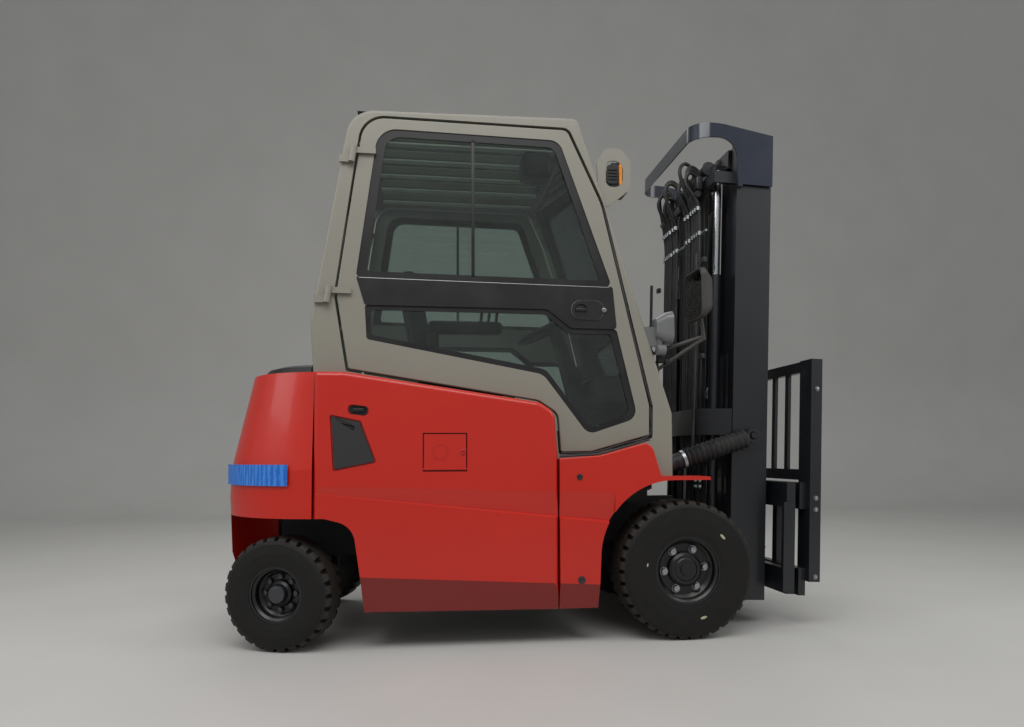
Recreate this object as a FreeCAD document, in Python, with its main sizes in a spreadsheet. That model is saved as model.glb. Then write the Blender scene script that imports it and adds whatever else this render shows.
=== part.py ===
import FreeCAD, Part
import math
import os
import Sketcher

# Electric four-wheel counterbalance forklift with a closed cab and a three-stage mast.
# Frame: +X forward to the mast, +Y to the driver's left, +Z up, millimetres.
# Heights are from the floor and lengths are from the rear axle. The placements then move
# the truck so that the origin is on the floor, below the middle of its overall length.

Vec = FreeCAD.Vector
doc = FreeCAD.newDocument("forklift")
sheet = doc.addObject("Spreadsheet::Sheet", "sizes")


# Driving dimensions

class Size:
    """A length that knows its number and the sheet expression that gives it."""

    def __init__(self, value, text):
        self.value = float(value)
        self.text = text

    def __float__(self):
        return self.value

    def __add__(self, other):
        return Size(self.value + float(other), "(%s + %s)" % (self.text, text_of(other)))

    __radd__ = __add__

    def __sub__(self, other):
        return Size(self.value - float(other), "(%s - %s)" % (self.text, text_of(other)))

    def __rsub__(self, other):
        return Size(float(other) - self.value, "(%s - %s)" % (text_of(other), self.text))

    def __mul__(self, other):
        return Size(self.value * float(other), "(%s * %s)" % (self.text, text_of(other)))

    __rmul__ = __mul__

    def __truediv__(self, other):
        return Size(self.value / float(other), "(%s / %s)" % (self.text, text_of(other)))

    def __neg__(self):
        return Size(-self.value, "(0 - %s)" % self.text)


def text_of(number):
    """The expression of a size, or the digits of a plain number."""
    return number.text if isinstance(number, Size) else "(%.6f)" % number


# Columns: name, millimetres or degrees, what it measures
SIZE_TABLE = [
    ("wheelbase", 1650, "rear axle to front axle"),
    ("rear_overhang", 300, "rear axle to the counterweight's back"),
    ("body_half_width", 620, "middle plane to the side panels' outside"),
    ("panel_thickness", 59.7, "side panels, inside to outside"),
    ("panel_gap", 6, "shut line between two body panels"),
    ("seat_gap", 0.3, "clearance between pieces that rest on each other"),
    ("deck_height", 1121, "floor to the top of the counterweight"),
    ("arch_height", 535, "floor to the top of the rear wheel opening"),
    ("sill_height", 150, "floor to the underside of the body"),
    ("counterweight_corner", 450, "corner radius of the counterweight seen from above"),
    ("counterweight_front", 103, "rear axle to the counterweight's front face"),
    ("cab_shoulder", 60, "side panels' outside to the cab's outside"),
    ("cab_wall", 55, "depth of the cab's posts across the truck"),
    ("door_thickness", 34, "door leaf"),
    ("roof_height", 2226, "floor to the roof"),
    ("glass_thickness", 5, "all panes"),
    ("front_tyre_diameter", 585, "front tyre outside diameter"),
    ("front_tyre_width", 222, "front tyre section width"),
    ("front_tread", 1000, "between the middles of the front tyres"),
    ("front_rim_diameter", 296, "front rim flange"),
    ("rear_tyre_diameter", 457, "rear tyre outside diameter"),
    ("rear_tyre_width", 158, "rear tyre section width"),
    ("rear_tread", 950, "between the middles of the rear tyres"),
    ("rear_rim_diameter", 236, "rear rim flange"),
    ("kingpin_half_width", 395, "middle plane to a kingpin"),
    ("kingpin_radius", 15, "kingpins"),
    ("steer_rest", -18, "angle of the rear wheels as parked"),
    ("mast_lean", 2.2, "forward lean of the mast as parked"),
    ("mast_half_width", 378, "middle plane to the outside of the outer mast"),
    ("mast_rear", 288, "mast pivot to the rear face of the outer mast"),
    ("mast_depth", 170, "outer mast channel, rear to front"),
    ("mast_bottom", -165, "mast pivot to the lower end of the outer mast"),
    ("mast_top", 1990, "mast pivot to the upper end of the outer mast"),
    ("channel_web", 15, "web of a mast channel"),
    ("channel_flange", 18, "flange of a mast channel"),
    ("channel_reach", 58, "web's outside to the flange tips"),
    ("stage_gap", 8, "between one mast stage and the next"),
    ("stage_step", 6, "how much shallower each inner stage is at front and rear"),
    ("axle_radius", 92, "drive axle tube"),
    ("bearing_clearance", 0.06, "shafts to the holes they turn or slide in"),
    ("carriage_width", 1000, "carriage bars and load backrest"),
    ("carriage_height", 508, "lower edge to upper edge of the fork bars"),
    ("carriage_bottom", -125, "mast pivot to the lower edge of the fork bars"),
    ("fork_face", 612, "mast pivot to the face that forks hang on"),
    ("backrest_top", 947, "mast pivot to the top of the load backrest"),
    ("backrest_reach", 657, "mast pivot to the front of the load backrest"),
    ("tilt_pin_forward", 373, "mast pivot to the tilt pin, forward"),
    ("tilt_pin_up", 591, "mast pivot to the tilt pin, upward"),
    ("tilt_base_forward", -138, "front axle to the tilt cylinder's rear pin"),
    ("tilt_base_height", 695, "floor to the tilt cylinder's rear pin"),
    ("tilt_half_width", 405, "middle plane to the tilt cylinders"),
    ("tilt_pin_radius", 14, "tilt cylinder pins"),
    ("origin_shift", 0, "rear axle to the middle of the overall length"),
]


class Dimensions:
    """The named sizes, each readable as an attribute."""


dim = Dimensions()
for line, (name, amount, meaning) in enumerate(SIZE_TABLE, start=1):
    sheet.set("A%d" % line, meaning)
    sheet.set("B%d" % line, str(amount))
    sheet.setAlias("B%d" % line, name)
    setattr(dim, name, Size(amount, "sizes." + name))
doc.recompute()
ORIGIN_CELL = "B%d" % len(SIZE_TABLE)
dim.cab_half_width = dim.body_half_width - dim.cab_shoulder


def fore(distance):
    """A length from the rear axle for something placed off the front axle."""
    return dim.wheelbase + distance


def bind(thing, prop, size):
    """Set a property from a number, or tie it to the sheet."""
    if isinstance(size, Size):
        thing.setExpression(prop, size.text)
    elif prop.startswith("Placement.Base.") or prop.startswith("AttachmentOffset.Base."):
        thing.setExpression(prop, "%.6f" % size)
    else:
        setattr(thing, prop, size)


# Outlines: rows of across, up and an optional corner radius

def corner_data(rows):
    """For each corner its point, its radius and where the rounding starts and ends."""
    points = [Vec(float(row[0]), float(row[1]), 0) for row in rows]
    radii = [float(row[2]) if len(row) > 2 else 0.0 for row in rows]
    data = []
    for i, point in enumerate(points):
        before = (points[i - 1] - point).normalize()
        after = (points[(i + 1) % len(points)] - point).normalize()
        if radii[i] == 0:
            data.append((point, 0.0, point, point, None, None))
            continue
        half = before.getAngle(after) / 2
        setback = radii[i] / math.tan(half)
        bisector = (before + after).normalize()
        middle = point + bisector * (radii[i] / math.sin(half))
        start = point + before * setback
        end = point + after * setback
        data.append((point, radii[i], start, end, middle, middle - bisector * radii[i]))
    return data


def wire(rows, place):
    """A closed wire of lines and arcs. place turns an outline point into space."""
    data = corner_data(rows)
    edges = []
    for i, corner in enumerate(data):
        following = data[(i + 1) % len(data)]
        if corner[1] > 0:
            edges.append(Part.Arc(place(corner[2]), place(corner[5]), place(corner[3])).toShape())
        if corner[3].distanceToPoint(following[2]) > 1e-6:
            edges.append(Part.LineSegment(place(corner[3]), place(following[2])).toShape())
    return Part.Wire(edges)


def on_side(y):
    return lambda p: Vec(p.x, float(y), p.y)


def on_floor(z):
    return lambda p: Vec(p.x, p.y, float(z))


def on_front(x):
    return lambda p: Vec(float(x), p.x, p.y)


def prism(rows, place, along):
    """A solid from an outline, pushed along a vector."""
    return Part.Face(wire(rows, place)).extrude(along)


def side_prism(rows, y_from, y_to):
    low, high = sorted((float(y_from), float(y_to)))
    return prism(rows, on_side(low), Vec(0, high - low, 0))


def sketch_outline(body, name, plane, rows, offset):
    """A closed sketch whose corners are tied to the sheet."""
    sketch = body.newObject("Sketcher::SketchObject", name)
    origin_planes = [f for f in body.Origin.OriginFeatures if f.Role == plane]
    sketch.AttachmentSupport = [(origin_planes[0], "")]
    sketch.MapMode = "FlatFace"
    bind(sketch, "AttachmentOffset.Base.z", offset)
    data = corner_data(rows)
    count = len(data)
    lines = []
    for i, corner in enumerate(data):
        end = data[(i + 1) % count][2]
        lines.append(sketch.addGeometry(Part.LineSegment(corner[3], end), False))
    rules = []
    ties = []
    for i, (row, corner) in enumerate(zip(rows, data)):
        into, out = lines[i - 1], lines[i]
        point, radius, start, end, middle, crown = corner
        if radius == 0:
            rules.append(Sketcher.Constraint("Coincident", into, 2, out, 1))
            held = (out, 1)
        else:
            begin = math.atan2(start.y - middle.y, start.x - middle.x)
            finish_angle = math.atan2(end.y - middle.y, end.x - middle.x)
            first = 1 if math.sin(finish_angle - begin) > 0 else 2
            sweep = (begin, finish_angle) if first == 1 else (finish_angle, begin)
            circle = Part.Circle(middle, Vec(0, 0, 1), radius)
            arc = sketch.addGeometry(Part.ArcOfCircle(circle, *sweep), False)
            tip = sketch.addGeometry(Part.Point(point), True)
            rules.append(Sketcher.Constraint("Tangent", into, 2, arc, first))
            rules.append(Sketcher.Constraint("Tangent", arc, 3 - first, out, 1))
            rules.append(Sketcher.Constraint("PointOnObject", tip, 1, into))
            rules.append(Sketcher.Constraint("PointOnObject", tip, 1, out))
            ties.append((len(rules), "round%d" % i, row[2]))
            rules.append(Sketcher.Constraint("Radius", arc, radius))
            held = (tip, 1)
        ties.append((len(rules), "across%d" % i, row[0]))
        rules.append(Sketcher.Constraint("DistanceX", -1, 1, held[0], held[1], point.x))
        ties.append((len(rules), "up%d" % i, row[1]))
        rules.append(Sketcher.Constraint("DistanceY", -1, 1, held[0], held[1], point.y))
    sketch.addConstraint(rules)
    for index, name_of, size in ties:
        sketch.renameConstraint(index, name_of)
        if isinstance(size, Size):
            sketch.setExpression("Constraints." + name_of, size.text)
    return sketch


def padded_body(name, plane, rows, offset, length, cuts=()):
    """A body that is one outline pushed out, with further outlines cut right through."""
    body = doc.addObject("PartDesign::Body", name)
    pad = body.newObject("PartDesign::Pad", name + "_pad")
    pad.Profile = sketch_outline(body, name + "_outline", plane, rows, offset)
    bind(pad, "Length", length)
    doc.recompute()
    for i, cut_rows in enumerate(cuts):
        pocket = body.newObject("PartDesign::Pocket", "%s_cut%d" % (name, i))
        pocket.Profile = sketch_outline(body, "%s_cut%d_outline" % (name, i), plane, cut_rows, offset)
        pocket.Type = "ThroughAll"
        pocket.Midplane = True
    return body


def side_body(name, side, rows, inner, thickness, cuts=()):
    """A plate that stands along the truck, on the right for side -1 and the left for +1."""
    offset = inner if side < 0 else -(inner + thickness)
    return padded_body(name, "XZ_Plane", rows, offset, thickness, cuts)


def turned_body(name, rows):
    """A body turned about the Y axis. Rows: along Y, radius, optional corner radius."""
    body = doc.addObject("PartDesign::Body", name)
    turn = body.newObject("PartDesign::Revolution", name + "_turn")
    sketch = sketch_outline(body, name + "_outline", "YZ_Plane", rows, 0)
    turn.Profile = sketch
    turn.ReferenceAxis = (sketch, ["H_Axis"])
    turn.Angle = 360
    return body


def box(name, x_from, x_to, y_from, y_to, z_from, z_to):
    """A rectangular block between two corners."""
    block = doc.addObject("Part::Box", name)
    bind(block, "Length", x_to - x_from)
    bind(block, "Width", y_to - y_from)
    bind(block, "Height", z_to - z_from)
    bind(block, "Placement.Base.x", x_from)
    bind(block, "Placement.Base.y", y_from)
    bind(block, "Placement.Base.z", z_from)
    return block


AXIS_TURNS = {
    "X": FreeCAD.Rotation(Vec(0, 1, 0), 90),
    "Y": FreeCAD.Rotation(Vec(1, 0, 0), -90),
    "Z": FreeCAD.Rotation(),
}


def rod(name, axis, x, y, z, radius, length):
    """A round bar that starts at a point and runs along an axis."""
    bar = doc.addObject("Part::Cylinder", name)
    bind(bar, "Radius", radius)
    bind(bar, "Height", length)
    bar.Placement = FreeCAD.Placement(Vec(), AXIS_TURNS[axis])
    bind(bar, "Placement.Base.x", x)
    bind(bar, "Placement.Base.y", y)
    bind(bar, "Placement.Base.z", z)
    return bar


def fused(name, pieces):
    joined = doc.addObject("Part::MultiFuse", name)
    joined.Shapes = pieces
    return joined


def grouped(name, pieces):
    """Separate solids of one node."""
    group = doc.addObject("Part::Compound", name)
    group.Links = pieces
    return group


def less(name, base, tool):
    cut = doc.addObject("Part::Cut", name)
    cut.Base = base
    cut.Tool = tool
    return cut


def formed(name, shape):
    """A piece whose shape comes from Part's own functions."""
    piece = doc.addObject("Part::Feature", name)
    piece.Shape = shape
    return piece


nodes = []
TRUCK = (-dim.origin_shift, 0, 0, None, None)
MAST = (dim.wheelbase - dim.origin_shift, 0, dim.front_tyre_diameter / 2, "Y", dim.mast_lean)


def finish(label, piece, frame=TRUCK):
    """Give a sub-part its name and its place in the truck."""
    x, y, z, axis, angle = frame
    if piece.TypeId in ("Part::Box", "Part::Cylinder"):
        piece = grouped(label + "_set", [piece])
    piece.Label = label
    if axis:
        line = {"Y": Vec(0, 1, 0), "Z": Vec(0, 0, 1)}[axis]
        piece.Placement = FreeCAD.Placement(Vec(), FreeCAD.Rotation(line, float(angle)))
        piece.setExpression("Placement.Rotation.Angle", angle.text)
    bind(piece, "Placement.Base.x", x)
    bind(piece, "Placement.Base.y", y)
    bind(piece, "Placement.Base.z", z)
    nodes.append(piece)
    return piece


def rounded(name, base, radius, wanted):
    """Round every edge of a piece that wanted picks."""
    doc.recompute()
    fillet = doc.addObject("Part::Fillet", name)
    fillet.Base = base
    fillet.Edges = [(number, radius, radius)
                    for number, edge in enumerate(base.Shape.Edges, start=1) if wanted(edge)]
    return fillet


def on_outside(half_width, above):
    """Picks a right-hand plate's outer edges above a height."""
    def wanted(edge):
        box = edge.BoundBox
        flat = abs(box.YMin + float(half_width)) < 0.01 and box.YLength < 0.01
        return flat and edge.CenterOfMass.z > float(above)
    return wanted


def wedge(rear_points, front_points):
    """A flat-sided solid between two outlines that have as many corners each."""
    rear_points = [Vec(*(float(part) for part in point)) for point in rear_points]
    front_points = [Vec(*(float(part) for part in point)) for point in front_points]
    faces = [Part.Face(Part.makePolygon(points + points[:1])) for points in (rear_points, front_points)]
    for i, (rear_point, front_point) in enumerate(zip(rear_points, front_points)):
        around = [rear_points[i - 1], rear_point, front_point, front_points[i - 1]]
        faces.append(Part.Face(Part.makePolygon(around + around[:1])))
    solid = Part.Solid(Part.Shell(faces))
    solid.fix(0.001, 0.001, 0.001)
    return solid


def mirrored(source):
    """The same piece on the truck's other side."""
    other = doc.addObject("Part::Mirroring", source.Name + "_mirrored")
    other.Source = source
    other.Normal = Vec(0, 1, 0)
    other.Base = Vec(0, 0, 0)
    return other


def finish_pair(label, right, frame=TRUCK):
    """A right-hand piece and its mirror image, as two solids of one sub-part."""
    return finish(label, grouped(label + "_set", [right, mirrored(right)]), frame)


def finish_sides(label, right, frame=TRUCK):
    """A right-hand piece and its mirror image, as two sub-parts."""
    finish(label + "_r", grouped(label + "_r_set", [right]), frame)
    finish(label + "_l", grouped(label + "_l_set", [mirrored(right)]), frame)


SIDES = (("r", -1), ("l", 1))


# Wheels

def wheel_place(x, half_tread, diameter):
    return lambda side: (x - dim.origin_shift, half_tread * side, diameter / 2, None, None)


def tread_cutters(half, radius, count, depth, mouth):
    """The gaps between the lugs, staggered from one shoulder to the other."""
    reach = half * 0.62
    rows = [(-mouth * 0.34, radius - depth), (mouth * 0.34, radius - depth),
            (mouth * 0.6, radius + 6), (-mouth * 0.6, radius + 6)]
    cutters = []
    for side, offset in ((-1, 0), (1, 0.5)):
        start = half - reach if side > 0 else -half - 1
        for i in range(count):
            gap = prism(rows, on_side(start), Vec(0, reach + 1, 0))
            gap.rotate(Vec(), Vec(0, 1, 0), 360 * (i + offset) / count)
            cutters.append(gap)
    return Part.makeCompound(cutters)


def build_wheel(label, side, diameter, width, rim, hub_radius, hub_in, lugs):
    """One lugged tyre and its dished rim, both turned about the wheel's own axis."""
    half = width / 2
    tyre_radius = diameter / 2
    # Columns: in from the sidewall, radius
    flank = [(6, rim / 2 - 4), (2, rim / 2 + 18), (0, tyre_radius * 0.74), (4, tyre_radius - 27),
             (17, tyre_radius - 5), (28, tyre_radius)]
    tyre_rows = [(half - inset, radius) for inset, radius in flank]
    tyre_rows += [(inset - half, radius) for inset, radius in reversed(flank)]
    carcass = turned_body("tyre_" + label, tyre_rows)
    lug_depth = 15
    lug_gap = 21
    cutters = tread_cutters(float(half), float(tyre_radius), lugs, lug_depth, lug_gap)
    tyre = less("lugged_tyre_" + label, carcass, formed("tread_" + label, cutters))
    rim_edge = rim / 2 - 4.3
    dish = half - 62
    # Columns: outwards from the wheel's middle, radius
    rim_profile = [
        (8 - half, rim_edge), (8 - half, rim_edge - 12), (34 - half, rim_edge - 18),
        (dish - 14, rim_edge - 22), (dish - 14, hub_radius), (-hub_in, hub_radius),
        (-hub_in, hub_radius - 22), (dish + 26, hub_radius - 22), (dish + 26, hub_radius - 10),
        (dish + 18, hub_radius), (dish, hub_radius + 3), (dish, rim_edge - 36),
        (dish + 12, rim_edge - 22), (half - 26, rim_edge - 18), (half - 18, rim_edge - 9),
        (half - 8, rim_edge - 9), (half - 8, rim_edge),
    ]
    disc = turned_body("rim_" + label, [(along * side, radius) for along, radius in rim_profile])
    return tyre, disc


front_frame = wheel_place(dim.wheelbase, dim.front_tread / 2, dim.front_tyre_diameter)
for tag, side in SIDES:
    tyre, disc = build_wheel(
        "front_" + tag, side, dim.front_tyre_diameter, dim.front_tyre_width,
        dim.front_rim_diameter, 72, 40, 36)
    finish("front_tyre_" + tag, tyre, front_frame(side))
    finish("front_rim_" + tag, disc, front_frame(side))

KNUCKLE = {}
for tag, side in SIDES:
    KNUCKLE[side] = (
        -dim.origin_shift, dim.kingpin_half_width * side, dim.rear_tyre_diameter / 2,
        "Z", dim.steer_rest)

wheel_offset = dim.rear_tread / 2 - dim.kingpin_half_width
for tag, side in SIDES:
    tyre, disc = build_wheel(
        "rear_" + tag, side, dim.rear_tyre_diameter, dim.rear_tyre_width,
        dim.rear_rim_diameter, 52, -8, 28)
    for name, piece in (("rear_tyre_", tyre), ("rear_rim_", disc)):
        bind(piece, "Placement.Base.y", wheel_offset * side)
        finish(name + tag, grouped(name + tag + "_set", [piece]), KNUCKLE[side])


# Steering axle, knuckles and the steering cylinder between them

plate_rise = Size(40, "40")
plate_thickness = Size(15, "15")
axle_plate_rows = [
    (-95, -150, 20), (-95, 150, 20), (-34, 235, 30), (-34, dim.kingpin_half_width + 34, 33),
    (34, dim.kingpin_half_width + 34, 33), (34, 235, 30), (60, 150, 20),
    (60, -150, 20), (34, -235, 30), (34, -dim.kingpin_half_width - 34, 33),
    (-34, -dim.kingpin_half_width - 34, 33), (-34, -235, 30),
]
axle_z = dim.rear_tyre_diameter / 2
plates = []
for name, low in (("upper", axle_z + plate_rise), ("lower", axle_z - plate_rise - plate_thickness)):
    plates.append(padded_body("axle_plate_" + name, "XY_Plane", axle_plate_rows, low, plate_thickness))
spacers = [
    box("axle_web_front", 30, 55, -110, 110, axle_z - plate_rise, axle_z + plate_rise),
    box("axle_mount", -70, 50, -165, 165, axle_z + plate_rise + plate_thickness - 1, 330),
    rod("steer_barrel", "Y", -48, -100, axle_z, 40.5, 200),
]
holes = [
    rod("kingpin_hole_" + tag, "Z", 0, dim.kingpin_half_width * side, axle_z - 80,
        dim.kingpin_radius + dim.bearing_clearance, 160)
    for tag, side in SIDES
]
holes.append(rod("steer_bore", "Y", -48, -131, axle_z, 16 + dim.bearing_clearance, 262))
finish("steer_axle", less("steer_axle_cut", fused("steer_axle_solid", plates + spacers),
                          fused("steer_axle_holes", holes)))

rod_half = Size(215, "215")
eye_rods = [rod("steer_rod_bar", "Y", -48, -rod_half, axle_z, 16, rod_half * 2)]
for tag, side in SIDES:
    eye_rods.append(rod("steer_eye_" + tag, "Z", -48, rod_half * side, axle_z - 20, 22, 40))
steer_rod = fused("steer_rod_solid", eye_rods)
finish("steer_rod", steer_rod, (-dim.origin_shift, 22, 0, None, None))

for tag, side in SIDES:
    barrel = rod("knuckle_barrel_" + tag, "Z", 0, 0, -plate_rise + 0.5, 31, plate_rise * 2 - 1)
    pin = rod("kingpin_" + tag, "Z", 0, 0, -62, dim.kingpin_radius, 124)
    hub_length = wheel_offset + 36
    spindle = rod("spindle_" + tag, "Y", 0, 0 if side > 0 else -hub_length, 0,
                  30 - dim.bearing_clearance, hub_length)
    arm_low = box("knuckle_arm_" + tag, -92, 0, -14, 14, -33, -9)
    finish("knuckle_" + tag,
           fused("knuckle_%s_solid" % tag, [barrel, pin, spindle, arm_low]), KNUCKLE[side])


# Drive axle with its motor and gear housing

axle_height = dim.front_tyre_diameter / 2
front_inner = dim.front_tread / 2 - dim.front_tyre_width / 2
foot_clear = 240
drum_radius = 128
stub_radius = 50 - dim.bearing_clearance
# Half of the axle's outline from the end of a stub to the middle. Columns: along Y, radius
axle_half = [
    (front_inner + 176, 0), (front_inner + 176, stub_radius), (front_inner - 8, stub_radius),
    (front_inner - 8, drum_radius), (front_inner - 60, drum_radius),
    (front_inner - 60, dim.axle_radius), (foot_clear, dim.axle_radius), (205, 108), (150, 138),
    (96, 142), (96, 150), (76, 150), (76, 142),
]
axle_rows = [(-along, radius) for along, radius in axle_half]
axle_rows += [(along, radius) for along, radius in reversed(axle_half)]
casing = turned_body("axle_casing", axle_rows)
bind(casing, "Placement.Base.x", dim.wheelbase)
bind(casing, "Placement.Base.z", axle_height)
axle_parts = [
    casing,
    rod("drive_motor", "X", dim.wheelbase - 270, 0, axle_height + 20, 115, 200),
    rod("motor_flange", "X", dim.wheelbase - 165, 0, axle_height + 20, 124, 30),
]
finish("drive_axle", fused("drive_axle_solid", axle_parts))


# Chassis: a welded tub for the battery with arms to both axles

tub_outer = dim.body_half_width - dim.panel_thickness - dim.seat_gap
tub_wall = 15
tub_rear = Size(330, "330")
tub_front = fore(-410)
floor_top = dim.sill_height + 15
tub_top = dim.tilt_base_height - 105
beam_low = dim.tilt_base_height - 120
beam_high = dim.tilt_base_height - 75 - dim.seat_gap
chassis_parts = [
    box("tub_floor", tub_rear, tub_front, -tub_outer, tub_outer, dim.sill_height, floor_top),
    box("tub_rear_wall", tub_rear, tub_rear + tub_wall, -tub_outer, tub_outer, dim.sill_height,
        dim.deck_height - 221),
    box("tub_front_wall", tub_front - tub_wall, tub_front, -tub_outer, tub_outer,
        dim.sill_height, tub_top),
]
for tag, side in SIDES:
    low, high = (-tub_outer, -tub_outer + tub_wall) if side < 0 else (tub_outer - tub_wall, tub_outer)
    chassis_parts.append(box("tub_side_" + tag, tub_rear, tub_front, low, high,
                             dim.sill_height, tub_top))
    low, high = (-170, -90) if side < 0 else (90, 170)
    chassis_parts.append(box("rear_arm_" + tag, -90, tub_rear + tub_wall, low, high, 330.3,
                             dim.arch_height - dim.seat_gap))
    low, high = (-270, -240) if side < 0 else (240, 270)
    chassis_parts.append(box("front_arm_" + tag, tub_front - tub_wall, fore(60), low, high,
                             axle_height + dim.axle_radius + dim.seat_gap, tub_top))
    low, high = (-440, -425) if side < 0 else (425, 440)
    chassis_parts.append(box("tilt_lug_" + tag, fore(-250), fore(-122), low, high, beam_low,
                             dim.tilt_base_height + 30))
    low = 389 if side > 0 else -440
    chassis_parts.append(rod("tilt_base_pin_" + tag, "Y", fore(dim.tilt_base_forward), low,
                             dim.tilt_base_height, dim.tilt_pin_radius, 51))
chassis_parts.append(box("front_beam", fore(-200), fore(-125), -440, 440, beam_low, beam_high))
chassis_parts.append(box("rear_cross", -90, -40, -170, 170, 420, 500))
finish("chassis", fused("chassis_solid", chassis_parts))

battery_clear = 12
finish("battery", box("battery_block", tub_rear + tub_wall + battery_clear, 1045,
                      -tub_outer + tub_wall + battery_clear, tub_outer - tub_wall - battery_clear,
                      floor_top + dim.seat_gap, dim.deck_height - 236))


# Counterweight: a casting with a round back, cut out for the turning rear wheels

def counterweight_plan(rear, half_width, corner, front):
    return [(rear, -half_width, corner), (front, -half_width), (front, half_width),
            (rear, half_width, corner)]


def counterweight_shape():
    back = -float(dim.rear_overhang)
    front = float(dim.counterweight_front)
    width = float(dim.body_half_width)
    corner = float(dim.counterweight_corner)
    top = float(dim.deck_height)
    arch = float(dim.arch_height)
    # The round corners run on past the front face, which is cut off flat
    uncut = back + corner + 60
    # Columns: height, how far the back and how far the sides are drawn in
    levels = [(300, 40, 10), (375, 15, 0), (610, 0, 0), (728, 6, 0), (top, 105, 58)]
    sections = [
        wire(counterweight_plan(back + drawn_in, width - narrowed, corner - drawn_in, uncut),
             on_floor(z))
        for z, drawn_in, narrowed in levels
    ]
    shape = Part.makeLoft(sections, True, True)
    shape = shape.cut(Part.makeBox(400, 2 * width, top, Vec(front, -width, 0)))
    # Wells for the turning rear wheels, and room for the axle and the chassis arms
    well_radius = 285
    for side in (-1, 1):
        y = float(dim.kingpin_half_width) * side
        shape = shape.cut(Part.makeCylinder(well_radius, arch, Vec(0, y, 0)))
        shape = shape.cut(Part.makeBox(800, 400, arch, Vec(-400, 330 if side > 0 else -730, 0)))
    shape = shape.cut(Part.makeBox(400, 700, arch, Vec(-110, -350, 0)))
    # Slot and cross hole of the tow pin
    shape = shape.cut(Part.makeBox(120, 130, 62, Vec(back - 1, -65, 470)))
    return shape.cut(Part.makeCylinder(14.05, 300, Vec(back + 62, 0, 299)))


def tail_lamp(grow):
    """A strip lamp that follows the counterweight's corner. grow widens it for its recess."""
    corner = float(dim.counterweight_corner)
    middle = Vec(-float(dim.rear_overhang) + corner, -float(dim.body_half_width) + corner, 0)
    low, high = 668 - grow, 744 + grow
    outer = Part.makeCylinder(corner + 4, high - low, middle + Vec(0, 0, low))
    inner = Part.makeCylinder(corner - 22 - grow, high - low, middle + Vec(0, 0, low))
    start, end = math.radians(112 - grow), math.radians(160 + grow)
    reach = 2 * corner
    wedge = Part.makePolygon([
        middle + Vec(0, 0, low),
        middle + Vec(reach * math.cos(start), -reach * math.sin(start), low),
        middle + Vec(reach * math.cos(end), -reach * math.sin(end), low),
        middle + Vec(0, 0, low),
    ])
    wedge = Part.Face(wedge).extrude(Vec(0, 0, high - low))
    return outer.cut(inner).common(wedge)


def mirror_shape(shape):
    return shape.mirror(Vec(0, 0, 0), Vec(0, 1, 0))


casting = counterweight_shape()
lamp_room = tail_lamp(float(dim.seat_gap))
finish("counterweight", formed("counterweight_casting",
                               casting.cut(lamp_room).cut(mirror_shape(lamp_room))))
finish_pair("tail_lamps", formed("tail_lamp", tail_lamp(0)))
cap_low = float(dim.deck_height) + float(dim.seat_gap)
# Columns: height, how far the back is drawn in, half width, corner radius
cap_levels = [(cap_low, 135, 505, 300), (cap_low + 30, 160, 490, 285), (cap_low + 42, 200, 460, 255)]
cap_sections = [
    wire(counterweight_plan(-float(dim.rear_overhang) + drawn_in, half, radius, 260), on_floor(z))
    for z, drawn_in, half, radius in cap_levels
]
cap_front = Part.makeBox(400, 1400, 200, Vec(80, -700, cap_low - 20))
cap = Part.makeLoft(cap_sections, True, True).cut(cap_front)
finish("counterweight_cap", formed("counterweight_cap_moulding", cap))
finish("tow_pin", rod("tow_pin_bar", "Z", 62 - dim.rear_overhang, 0, 390, 14, 205))


# Body panels

panel_inner = dim.body_half_width - dim.panel_thickness
# Columns: along, up, corner radius
side_panel_rows = [
    (dim.counterweight_front + dim.panel_gap, dim.deck_height - 3),
    (228, dim.deck_height - 3, 60),
    (1016, dim.deck_height - 120, 60),
    (1078, dim.deck_height - 161, 50),
    (fore(-560), dim.deck_height - 341, 60),
    (fore(-560), dim.sill_height),
    (306, dim.sill_height + 10),
    (292, 300, 120),
    (262, dim.arch_height - 30, 90),
    (150, dim.arch_height, 40),
    (dim.counterweight_front + dim.panel_gap, dim.arch_height),
]
front_panel_rows = [
    (fore(-554), dim.sill_height),
    (fore(-554), dim.deck_height - 353),
    (fore(-385), dim.deck_height - 341, 60),
    (fore(-162), dim.deck_height - 283, 40),
    (fore(-118), axle_height + 400),
    (fore(96), axle_height + 396),
    (fore(98), axle_height + 382),
    (fore(-368), axle_height + 382, 320),
    (fore(-392), dim.sill_height),
]


def step_points(x):
    """Section of what the sill is cut back by: its face slants in below a sloping edge."""
    edge = float(dim.sill_height) + 170 - 0.0567 * x
    out = -float(dim.body_half_width)
    return [(x, out, edge), (x, out + 40, edge - 175), (x, out - 40, edge - 175), (x, out - 40, edge)]


def crease_points(x):
    """Section of the hollow above the crease, which widens towards the front from a point."""
    start, length = -220, 1315
    share = (x - start) / length
    edge = float(dim.deck_height) - 452 - 145 * share
    out = -float(dim.body_half_width)
    return [(x, out, edge), (x, out + 16 * share, edge + 6 * share), (x, out, edge + 110 * share),
            (x, out - 40, edge + 110 * share), (x, out - 40, edge)]


sill_step = formed("sill_step", wedge(step_points(90), step_points(1330)))
crease = formed("crease_hollow", wedge(crease_points(90), crease_points(1330)))

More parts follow.
